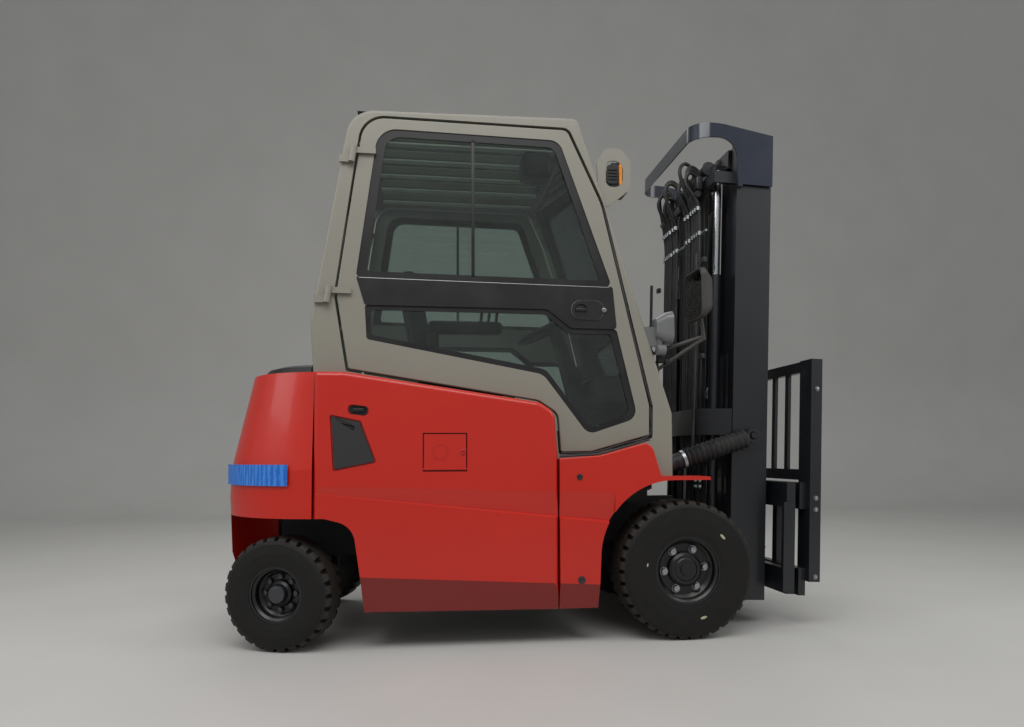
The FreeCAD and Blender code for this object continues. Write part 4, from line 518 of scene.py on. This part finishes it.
def block(shape, low, high, soft=3.0, turn=Matrix.Identity(4)):
    """Adds a bevelled block between two corners in millimetres."""
    part = bmesh.new()
    bmesh.ops.create_cube(part, size=1)
    size = [(h - l) / 1000 for l, h in zip(low, high)]
    bmesh.ops.scale(part, verts=part.verts, vec=size)
    bmesh.ops.bevel(part, geom=part.edges[:], offset=soft / 1000, affect="EDGES", segments=3, profile=0.5,
                    material=-1)
    heart = place_at(*[(l + h) / 2 for l, h in zip(low, high)])
    join(shape, part, Matrix.Translation(heart) @ turn)


def side_block(shape, side, low, high, soft):
    """Adds a block at one side; its corners tell how far it is from the truck's middle."""
    y = sorted((low[1] * side, high[1] * side))
    block(shape, (low[0], y[0], low[2]), (high[0], y[1], high[2]), soft)


# ---- Door glass borders, rail cover and handles
# Each pane is bonded behind a black printed border. A black cover hides the rail between the
# panes, with a bright bead along its top and an oval pull handle; seals run round the leaf.

# Outlines of the borders, their panes and the rail's cover. Rows: along, up, corner radius
UPPER = [(264, 1518, 12), (352, 2140, 90), (1115, 2130, 60), (1342, 1502, 20)]
UPPER_PANE = [(306, 1540, 14), (386, 2108, 66), (1092, 2100, 44), (1292, 1528, 16)]
LOWER = [(300, 1400, 12), (308, 1258, 14), (1040, 1122, 70), (1232, 868, 50), (1450, 940, 50),
         (1360, 1320, 20), (1160, 1322, 30), (1060, 1400, 40)]
LOWER_PANE = [(322, 1380, 10), (328, 1276, 12), (1052, 1144, 64), (1244, 892, 44), (1416, 958, 40),
              (1334, 1298, 16), (1150, 1298, 24), (1050, 1378, 30)]
RAIL = [(264, 1519, 10), (300, 1399, 10), (1060, 1399, 38), (1160, 1321, 28), (1361, 1319, 16),
        (1344, 1503, 12)]
bead_metal = plated("bright_trim_bead", "#8E9092", 0.34, 2.0)
glass, tree, place = new_material("tinted_glass")
smear = add(tree, "ShaderNodeTexNoise", {"Vector": place, "Scale": 14.0, "Detail": 6.0})
film = add(tree, "ShaderNodeMapRange", {"Value": smear.outputs["Fac"], "To Min": 0.02, "To Max": 0.09})
clear = add(tree, "ShaderNodeBsdfTransparent", {"Color": linear("#DFE8E4")})
shine = add(tree, "ShaderNodeBsdfGlossy", {"Color": linear("#FFFFFF"), "Roughness": film.outputs[0]})
shade_and_grime = add(tree, "ShaderNodeBsdfDiffuse", {"Color": linear("#8C9192")})
edge = add(tree, "ShaderNodeFresnel", {"IOR": 1.5})
haze = add(tree, "ShaderNodeMapRange", {"Value": smear.outputs["Fac"], "From Min": 0.3, "To Max": 0.05})
pane = add(tree, "ShaderNodeMixShader", {"Fac": haze.outputs[0], 1: clear.outputs[0], 2: shade_and_grime.outputs[0]})
show(tree, add(tree, "ShaderNodeMixShader", {
    "Fac": edge.outputs[0], 1: pane.outputs[0], 2: shine.outputs[0]}))
coat(glass, "cab_glass", "door_glass_r", "door_glass_l")

glass_inner = 551.2
glass_outer = 556
for tag, side in both_sides:
    body = "door_" + tag
    print_edge = bmesh.new()
    side_plate(print_edge, UPPER, side, glass_inner, glass_outer, UPPER_PANE)
    side_plate(print_edge, LOWER, side, glass_inner, glass_outer, LOWER_PANE)
    side_plate(print_edge, RAIL, side, 560, 562)
    side_block(print_edge, side, (738, glass_inner, 1528), (752, glass_outer, 2112), 1.5)
    put("door_borders_" + tag, print_edge, black_plastic, body)
    bead = bmesh.new()
    tube(bead, [(276, 561.5 * side, 1511), (700, 561.5 * side, 1506), (1330, 561.5 * side, 1499)], 1.8, 8)
    turned(bead, [(-0.0005, 0.0105), (-0.004, 0.0100), (-0.005, 0.007), (-0.003, 0.0055), (-0.003, 0.0001)],
           facing(side, place_at(1304, 566 * side, 1399)), 24)
    put("door_bead_and_lock_" + tag, bead, bead_metal, body)
    handle = bmesh.new()
    side_plate(handle, oblong((1163, 1359), (1305, 1439), 40), side, 564.6, 567.5,
               [(1178, 1374, 25), (1230, 1374, 25), (1230, 1424, 24), (1178, 1424, 24)])
    side_plate(handle, oblong((1177, 1373), (1231, 1425), 25), side, 559, 560.5)
    side_block(handle, side, (1180, 548, 1391), (1240, 566, 1408), 4)
    put("door_handle_" + tag, handle, black_plastic, body)
    seal = bmesh.new()
    tube(seal, [(1506, 556 * side, 985), (1502, 556 * side, 868), (1380, 556 * side, 828),
                (1250, 556 * side, 792), (1114, 556 * side, 790)], 5, 8)
    tube(seal, [(1512, 556 * side, 996), (1460, 556 * side, 1190), (1395, 556 * side, 1470),
                (1308, 556 * side, 1850)], 5, 8)
    put("door_seal_" + tag, seal, dark_trim, body)


# ---- Seat: padded vinyl
# Foam under a black vinyl cover. Raised seams run across the back and along the cushion.

vinyl, tree, place = new_material("seat_vinyl")
crease = add(tree, "ShaderNodeTexVoronoi", {"Vector": place, "Scale": 260.0}, feature="DISTANCE_TO_EDGE")
wear = add(tree, "ShaderNodeTexNoise", {"Vector": place, "Scale": 6.0, "Detail": 6.0})
gloss = add(tree, "ShaderNodeMapRange", {"Value": wear.outputs["Fac"], "To Min": 0.42, "To Max": 0.66})
tone = add(tree, "ShaderNodeMix", {0: wear.outputs["Fac"], 6: linear("#1A1A1C"), 7: linear("#2A2A2C")},
           data_type="RGBA")
bump = add(tree, "ShaderNodeBump", {
    "Height": crease.outputs["Distance"], "Strength": 0.5, "Distance": 0.0005})
show(tree, add(tree, "ShaderNodeBsdfPrincipled", {
    "Base Color": tone.outputs[2], "Roughness": gloss.outputs[0], "IOR": 1.5, "Normal": bump.outputs[0]}))
coat(vinyl, "seat_cushion", "seat_back")


def bake(piece):
    """Replaces a piece's mesh by what its modifiers make of it."""
    bpy.context.view_layer.update()
    made = bpy.data.meshes.new_from_object(piece.evaluated_get(bpy.context.evaluated_depsgraph_get()))
    piece.modifiers.clear()
    piece.data = made


def cushion(name, rows, half):
    """A stuffed cover: a side outline made thick, remeshed fine, blown up as cloth and smoothed.

    Left free, the cloth goes out by 46 mm on average and every point passes 9 mm. So none
    follows it further than swell: that limit makes the form, the cloth only its direction.
    """
    swell = 0.009
    frames = 20
    shape = bmesh.new()
    side_plate(shape, rows, 1, -half, half)
    bmesh.ops.remove_doubles(shape, verts=shape.verts, dist=0.0001)
    bmesh.ops.recalc_face_normals(shape, faces=shape.faces)
    mesh = bpy.data.meshes.new(name)
    shape.to_mesh(mesh)
    shape.free()
    piece = bpy.data.objects.new(name, mesh)
    bpy.context.scene.collection.objects.link(piece)
    fine = piece.modifiers.new("fine", "REMESH")
    fine.mode = "VOXEL"
    fine.voxel_size = 0.008
    bake(piece)
    rest = [v.co.copy() for v in piece.data.vertices]
    cloth = piece.modifiers.new("cloth", "CLOTH")
    cloth.settings.use_pressure = True
    cloth.settings.uniform_pressure_force = 4.0
    cloth.settings.effector_weights.gravity = 0.0
    cloth.settings.tension_stiffness = 12.0
    cloth.settings.compression_stiffness = 12.0
    cloth.settings.bending_stiffness = 0.6
    cloth.point_cache.frame_start = 1
    cloth.point_cache.frame_end = frames
    for step in range(1, frames + 1):
        bpy.context.scene.frame_set(step)
        bpy.context.view_layer.update()
    bake(piece)
    bpy.context.scene.frame_set(1)
    for vert, start in zip(piece.data.vertices, rest):
        move = vert.co - start
        if move.length > swell:
            vert.co = start + move.normalized() * swell
    smooth = piece.modifiers.new("smooth", "SMOOTH")
    smooth.factor = 0.5
    smooth.iterations = 6
    bake(piece)
    piece.data.shade_smooth()
    piece.data.materials.clear()
    piece.data.materials.append(vinyl)
    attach(piece, "truck")
    return piece


pad = cushion("seat_cushion_padded", [(512, 1066, 12), (504, 1132, 24), (622, 1146, 60), (890, 1158, 40),
                                      (958, 1140, 30), (946, 1068, 20)], 236)
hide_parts("seat_cushion")
back = cushion("seat_back_padded", [(514, 1156, 16), (424, 1640, 34), (506, 1650, 34), (590, 1212, 60),
                                    (578, 1160, 16)], 222)
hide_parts("seat_back")
welt = bmesh.new()
back_slope = 0.192
for z in (1280, 1350, 1420, 1490, 1560):
    x = 590 - (z - 1212) * back_slope
    tube(welt, [(x - 30, -226, z), (x - 2, -205, z), (x + 3, 0, z), (x - 2, 205, z), (x - 30, 226, z)], 3, 8)
for y in (-150, 150):
    tube(welt, [(560, y, 1146), (640, y, 1156), (760, y, 1161), (900, y, 1166), (955, y, 1150)], 3, 8)
put("seat_seams", welt, dark_trim, "truck")


# ---- Hose rubber, tilt cylinders and tail lamps
# Hose rubber is satin black. The tail lamps are deep red lenses under a blue protective film
# that has been wound round them and gathered into pleats.

hose_rubber = moulded("hose_rubber", "#17171A", 0.50, 1.0, 0.0005, 0.2)
coat(hose_rubber, "mast_hoses")


def ribbed_lens(name, colour, gloss, scale, way, depth, **optics):
    """A moulded lens with fine ribs that follow one another along an axis."""
    material, tree, place = new_material(name)
    ribs = add(tree, "ShaderNodeTexWave", {"Vector": place, "Scale": scale}, bands_direction=way)
    bump = add(tree, "ShaderNodeBump", {"Height": ribs.outputs["Fac"], "Strength": depth, "Distance": 0.001})
    show(tree, add(tree, "ShaderNodeBsdfPrincipled", {
        "Base Color": linear(colour), "Roughness": gloss, "Normal": bump.outputs[0], **optics}))
    return material


red_lens = ribbed_lens("red_lens", "#7E120E", 0.16, 60.0, "Z", 0.4, IOR=1.5)
coat(red_lens, "tail_lamps")
# A cylinder's or rod's plain materials tell which of its faces are chromed, rubber or painted
for name in ("tilt_cylinder_r", "tilt_cylinder_l", "tilt_rod_r", "tilt_rod_l"):
    for held in nodes[name].material_slots:
        old = held.material.name if held.material else ""
        if "chrome" in old:
            held.material = chrome
        elif "rubber" in old:
            held.material = hose_rubber
        else:
            held.material = frame_enamel

film_blue, tree, place = new_material("protective_film")
fold = add(tree, "ShaderNodeTexWave", {
    "Vector": place, "Scale": 26.0, "Distortion": 1.6, "Detail": 2.0, "Detail Scale": 3.0},
           bands_direction="Y")
tone = add(tree, "ShaderNodeMix", {0: fold.outputs["Fac"], 6: linear("#1F62C0"), 7: linear("#3F8BE2")},
           data_type="RGBA")
bump = add(tree, "ShaderNodeBump", {"Height": fold.outputs["Fac"], "Strength": 0.5, "Distance": 0.002})
show(tree, add(tree, "ShaderNodeBsdfPrincipled", {
    "Base Color": tone.outputs[2], "Roughness": 0.30, "IOR": 1.5, "Normal": bump.outputs[0]}))
low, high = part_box("tail_lamps")
# The film follows the counterweight's round corner and reaches past the lamp, above and below
corner_x = 150
corner_y = 0.170
film_radius = 0.4585
pleat = 0.0014
overlap = 0.004
rows = 9
columns = 40
for tag, side in both_sides:
    film = bmesh.new()
    grid = []
    for i in range(rows + 1):
        z = low[2] - overlap + (high[2] - low[2] + 2 * overlap) * i / rows
        grid.append([])
        for k in range(columns + 1):
            turn = math.radians(186 + 66 * k / columns)
            out = film_radius + pleat * math.sin(k * 2.4 + i * 0.5)
            x = place_at(corner_x + 1000 * out * math.cos(turn), 0, 0).x
            across = (corner_y - out * math.sin(turn)) * side
            grid[-1].append(film.verts.new((x, across, z)))
    for first, second in zip(grid, grid[1:]):
        for k in range(columns):
            film.faces.new((first[k], first[k + 1], second[k + 1], second[k]))
    put("lamp_film_" + tag, film, film_blue, "truck")


# ---- Lamps and mirrors
# Square headlamps with a clear ribbed face in a grey shell, work lamps with dark ribs and an
# amber strip in the grey guard, and mirrors with silvered glass in a dark shell.

lens = ribbed_lens("clear_lens", "#D9DDDE", 0.12, 70.0, "Y", 0.5, Metallic=0.55)
lamp_shell = moulded("lamp_shell", "#6E6F70", 0.28, 0.8, 0.0002, 0.05)
amber = ribbed_lens("amber_lens", "#D9820F", 0.20, 90.0, "Z", 0.5, IOR=1.5)
silvered, tree, place = new_material("silvered_glass")
smear = add(tree, "ShaderNodeTexNoise", {"Vector": place, "Scale": 30.0, "Detail": 5.0})
rough = add(tree, "ShaderNodeMapRange", {"Value": smear.outputs["Fac"], "To Min": 0.02, "To Max": 0.08})
show(tree, add(tree, "ShaderNodeBsdfPrincipled", {
    "Base Color": linear("#8B8C88"), "Metallic": 1.0, "Roughness": rough.outputs[0]}))
coat(lamp_shell, "headlamps")
mirror_shell = moulded("grey_brown_plastic", "#3A3733", 0.40, 0.8, 0.0003, 0.06)
coat(mirror_shell, "mirrors")


def end_plate(shape, rows, side, back, front):
    """Adds a plate that looks forwards. Rows: across, up, corner radius."""
    part = bmesh.new()
    rim = [part.verts.new(place_at(back, y * side, z)) for y, z in rounded(rows)]
    face = part.faces.new(rim)
    made = bmesh.ops.extrude_face_region(part, geom=[face])
    bmesh.ops.translate(part, verts=[g for g in made["geom"] if isinstance(g, bmesh.types.BMVert)],
                        vec=((front - back) / 1000, 0, 0))
    bmesh.ops.recalc_face_normals(part, faces=part.faces)
    join(shape, part, Matrix.Identity(4))


for tag, side in both_sides:
    face = bmesh.new()
    end_plate(face, oblong((490, 1268), (590, 1392), 27), side, 1597, 1601)
    put("headlamp_lens_" + tag, face, lens, "truck")
    cover = bmesh.new()
    side_block(cover, side, (1546, 520, 1180), (1584, 544, 1262), 6)
    side_block(cover, side, (1580, 528, 1168), (1606, 548, 1196), 5)
    put("lamp_bracket_" + tag, cover, black_plastic, "truck")
    strip = bmesh.new()
    side_plate(strip, oblong((1384, 1956), (1397, 2050), 5), side, 537, 545.5)
    put("amber_strip_" + tag, strip, amber, "truck")
    side_lamp = bmesh.new()
    side_plate(side_lamp, oblong((1330, 1962), (1380, 2044), 12), side, 537, 542)
    side_block(side_lamp, side, (1350, 443, 1925), (1424, 537, 2059), 8)
    for z in (1980, 1994, 2008, 2022):
        tube(side_lamp, [(1334, 543 * side, z), (1355, 543.5 * side, z), (1377, 543 * side, z)], 2.2, 8)
    put("work_lamp_ribs_" + tag, side_lamp, black_plastic, "truck")
    mirror = bmesh.new()
    end_plate(mirror, oblong((513, 1366), (687, 1564), 30), side, 1688, 1690.5)
    put("mirror_glass_" + tag, mirror, silvered, "truck")


# ---- Louvre mesh, latches, panel strips, plugs and flap
# A punched black mesh behind the air inlet, a latch in the grip recess, a dark strip along
# the panel's top edge, under the door, and plugs in unused holes. The charging flap has a small
# round lock and a plain ring.

mesh_black, tree, place = new_material("punched_mesh")
cells = add(tree, "ShaderNodeTexVoronoi", {"Vector": place, "Scale": 170.0, "Randomness": 0.0})
holes = add(tree, "ShaderNodeMapRange", {
    "Value": cells.outputs["Distance"], "From Min": 0.30, "From Max": 0.36})
tone = add(tree, "ShaderNodeMix", {0: holes.outputs[0], 6: linear("#050505"), 7: linear("#2A2A2C")},
           data_type="RGBA")
bump = add(tree, "ShaderNodeBump", {"Height": holes.outputs[0], "Strength": 0.8, "Distance": 0.001})
show(tree, add(tree, "ShaderNodeBsdfPrincipled", {
    "Base Color": tone.outputs[2], "Roughness": 0.55, "IOR": 1.5, "Normal": bump.outputs[0]}))
coat(mesh_black, "louvres")
inlet_low, inlet_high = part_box("louvres")
for tag, side in both_sides:
    cover = bmesh.new()
    face = (-inlet_low[1] if side < 0 else inlet_high[1]) * 1000
    side_plate(cover, [(178, 938, 4), (286, 915, 6), (345, 760, 6), (190, 730, 6)], side, face, face + 1.5,
               [(190, 926, 6), (198, 934, 5), (272, 897, 6), (262, 882, 6)])
    put("inlet_mesh_" + tag, cover, mesh_black, "truck")
    latch = bmesh.new()
    side_plate(latch, oblong((246, 943), (316, 984), 18), side, 604, 608)
    side_block(latch, side, (258, 606, 956), (304, 616, 972), 4)
    put("grip_latch_" + tag, latch, black_plastic, "truck")
    # A dark strip that draws the dark line along the panel's top edge under the door
    strip = bmesh.new()
    tube(strip, [(1098, 612 * side, 776), (1180, 612 * side, 781), (1265, 612 * side, 787),
                 (1380, 612 * side, 818), (1482, 612 * side, 846)], 5, 8)
    put("panel_strip_" + tag, strip, hose_rubber, "truck")
red_plastic = moulded("red_lock_plastic", "#B01C14", 0.35, 1.0, 0.0003, 0.05)
for tag, side in both_sides:
    plugs = bmesh.new()
    for x, y, z, radius in [(1180, 620, 691, 0.013), (1185, 620, 269, 0.016)]:
        turned(plugs, [(0.001, radius * 0.9), (0, radius), (-0.003, radius * 0.95), (-0.0045, radius * 0.6),
                       (-0.003, radius * 0.45), (-0.003, 0.0001)], facing(side, place_at(x, y * side, z)), 20)
    put("plugs_" + tag, plugs, hose_rubber, "truck")
lock = bmesh.new()
low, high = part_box("charge_flap")
turned(lock, [(0.002, 0.012), (-0.003, 0.012), (-0.004, 0.010), (-0.004, 0.005), (-0.002, 0.004),
              (-0.002, 0.0001)], facing(-1, (high[0] - 0.020, low[1], (low[2] + high[2]) / 2)), 24)
put("flap_lock", lock, red_plastic, "charge_flap")
ring = bmesh.new()
turned(ring, [(0.0005, 0.031), (-0.0012, 0.031), (-0.0012, 0.028), (0.0005, 0.028)],
       facing(-1, (low[0] + 0.075, low[1], (low[2] + high[2]) / 2)), 48)
put("bare_emblem_place", ring, red_plastic, "charge_flap")


# ---- Painted light on the roof bars, dashboard, levers, armrest and roof fan
# Pale strips on the roof bars are painted light, for the light that falls on them through the
# roof, and moulded black cab furniture: a display on the cowl, small levers on the armrest, and
# the housing of a fan under the roof.

# A near-white enamel that paints the light falling on the roof bars through the roof pane
painted_light_enamel = sprayed("painted_light_enamel", "#F4F3EE", "#EAE8E0", 0.40, 0.10, 4.0, 0.0, "#D8D6CE")
bars = bmesh.new()
half_bar = 18
for y in (-360, -180, 0, 180, 360):
    block(bars, (330, y - half_bar, 2158), (1140, y + half_bar, 2168), 3)
put("roof_bar_painted_light", bars, painted_light_enamel, "truck")
inside = bmesh.new()
block(inside, (1340, -330, 1010), (1490, 330, 1150), 24)
block(inside, (1300, -90, 1150), (1350, 90, 1230), 14, Matrix.Rotation(math.radians(-24), 4, "Y"))
block(inside, (560, -330, 1330), (900, -262, 1390), 24)
block(inside, (560, -312, 1150), (610, -280, 1340), 8)
for x in (800, 835, 870):
    tube(inside, [(x, -296, 1386), (x + 4, -296, 1420), (x + 6, -296, 1446)], 7, 10)
block(inside, (985, -380, 2048), (1120, -250, 2160), 22)
put("dashboard_and_armrest", inside, black_plastic, "truck")


# ---- Mast hardware: hoses, pipes, clamps, valve blocks, bolts and bellows
# Hoses loop over the mast head and down inside it, held by zinc clamps, and pipes run up the
# uprights. Bolts hold the brace and the backrest, and bright rings clamp the bellows.

lean = math.radians(2.2)
mast_pivot_x = 1650
mast_pivot_z = 292.5


def on_mast(x, y, z):
    """A place in the mast's own leaning frame, in millimetres from the rear axle."""
    return (mast_pivot_x + x * math.cos(lean) + (z - mast_pivot_z) * math.sin(lean), y,
            mast_pivot_z + (z - mast_pivot_z) * math.cos(lean) - x * math.sin(lean))


def to_mast(x, y, z):
    """The matrix that moves a part to a place in the mast's frame."""
    return Matrix.Translation(place_at(*on_mast(x, y, z)))


upright = Matrix.Rotation(math.pi / 2, 4, "X")
backwards = Matrix.Rotation(math.radians(-90), 4, "Z")
loops = bmesh.new()
for i, y in enumerate((-150, -122, -94, -66, -38, 38, 66, 94, 122, 150)):
    # The loops stand at three heights by turns
    rise = 30 * (i % 3)
    tube(loops, [on_mast(232, y, 1300), on_mast(230, y, 1700), on_mast(226, y, 1960), on_mast(224, y, 2060),
                 on_mast(240, y, 2130 + rise), on_mast(276, y, 2150 + rise), on_mast(300, y, 2110 + rise),
                 on_mast(304, y, 2040)], 9, 10)
put("hose_loops", loops, hose_rubber, "middle_stage")
pipes = bmesh.new()
for side in (-1, 1):
    for z in (1240, 1700):
        side_block(pipes, side, on_mast(150, 300, z), on_mast(168, 330, z + 26), 3)
    tube(pipes, [on_mast(120, 318 * side, 760), on_mast(122, 322 * side, 1300),
                 on_mast(118, 318 * side, 1740)], 8, 10)
    turned(pipes, [(-0.02, 0.0001), (-0.02, 0.013), (0.02, 0.013), (0.02, 0.0001)],
           to_mast(121, 321 * side, 1490) @ upright, 16)
put("mast_pipes", pipes, hose_rubber, "outer_stage")

under_guard = bmesh.new()
clamps = bmesh.new()
lower_clamps = 1868
upper_clamps = 1990
for i, y in enumerate((-232, -204, -176, -148, -104, -70, 70, 104, 148, 176, 204, 232)):
    # The crests differ in height and depth from one hose to the next
    crest = 2172 + 26 * ((i * 5) % 4)
    behind = 96 + 12 * (i % 3)
    tube(under_guard, [on_mast(176, y * 0.90, 730), on_mast(172, y * 0.96, 1200), on_mast(170, y, 1700),
                       on_mast(168, y, 1900), on_mast(154, y, 2020),
                       on_mast(behind, y * 0.96, crest - 60), on_mast(behind + 22, y * 0.92, crest),
                       on_mast(behind + 66, y * 0.90, crest - 22),
                       on_mast(178, y * 0.90, crest - 96)], 9, 10)
    for x, z in ((167, lower_clamps), (157, upper_clamps)):
        turned(clamps, [(-0.009, 0.0085), (-0.009, 0.0125), (0.009, 0.0125), (0.009, 0.0085)],
               to_mast(x, y, z) @ upright, 8)
tube(clamps, [on_mast(178, y, lower_clamps) for y in (-290, 0, 290)], 6, 10)
put("hoses_under_guard", under_guard, hose_rubber, "outer_stage")
put("hose_clamps", clamps, zinc, "outer_stage")
valve = bmesh.new()
for y in (-205, 0, 205):
    block(valve, on_mast(146, y - 34, 2086), on_mast(178, y + 34, 2150), 6)
    turned(valve, [(0.040, 0.0001), (0.040, 0.016), (-0.040, 0.016), (-0.040, 0.0001)],
           to_mast(150, y, 2060), 20)
put("valve_blocks", valve, mast_enamel, "outer_stage")
carry = bmesh.new()
low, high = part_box("side_shifter")
near = (low[0] - rear_axle) * 1000
for side in (-1, 1):
    tube(carry, [(near - 6, 150 * side, 480), (near - 40, 190 * side, 500), (near - 52, 220 * side, 440),
                 (near - 40, 235 * side, 360), (near - 6, 240 * side, 330)], 8, 10)
put("carriage_hose_loops", carry, hose_rubber, "side_shifter")
low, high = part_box("backrest")
studs = bmesh.new()
for side in (-1, 1):
    for z, behind in ((232, 62), (532, 52), (583, 50), (1077, 32)):
        spot = place_at((high[0] - rear_axle) * 1000 - behind, high[1] * 1000 * side, z)
        hex_bolt(studs, facing(side, spot), 0.016, 0.008, 0.011)
put("backrest_bolts", studs, zinc, "side_shifter")

bolts = bmesh.new()
for side in (-1, 1):
    for z in (640, 668):
        for y in (300, 350):
            turned(bolts, [(0, 0.011), (-0.002, 0.011), (-0.002, 0.0085), (-0.009, 0.0085), (-0.009, 0.0001)],
                   to_mast(149, y * side, z) @ backwards, 12)
put("brace_bolts", bolts, zinc, "outer_stage")
slope = math.radians(18.04)
outwards = Matrix.Rotation(-slope, 4, "Y") @ backwards
run = Vector((math.cos(slope), 0, math.sin(slope)))
fold_count = 13
fold_pitch = 0.024
folds = [(0.208, 0.034)]
for i in range(fold_count):
    folds += [(0.212 + i * fold_pitch, 0.038), (0.224 + i * fold_pitch, 0.047)]
folds += [(0.524, 0.038), (0.530, 0.030), (0.530, 0.020)]
for tag, side in both_sides:
    base = place_at(1512, 405 * side, 695)
    ribs = bmesh.new()
    turned(ribs, folds, Matrix.Translation(base) @ outwards, 32)
    put("bellows_" + tag, ribs, hose_rubber, "tilt_rod_" + tag)
    clamp = bmesh.new()
    turned(clamp, [(-0.007, 0.040), (-0.007, 0.0435), (0.007, 0.0435), (0.007, 0.040)],
           Matrix.Translation(base + run * 0.206) @ outwards, 32)
    put("bellows_clamp_" + tag, clamp, zinc, "tilt_rod_" + tag)


size = {"size_cad": cad_box, "size_all": [list(corner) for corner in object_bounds()]}
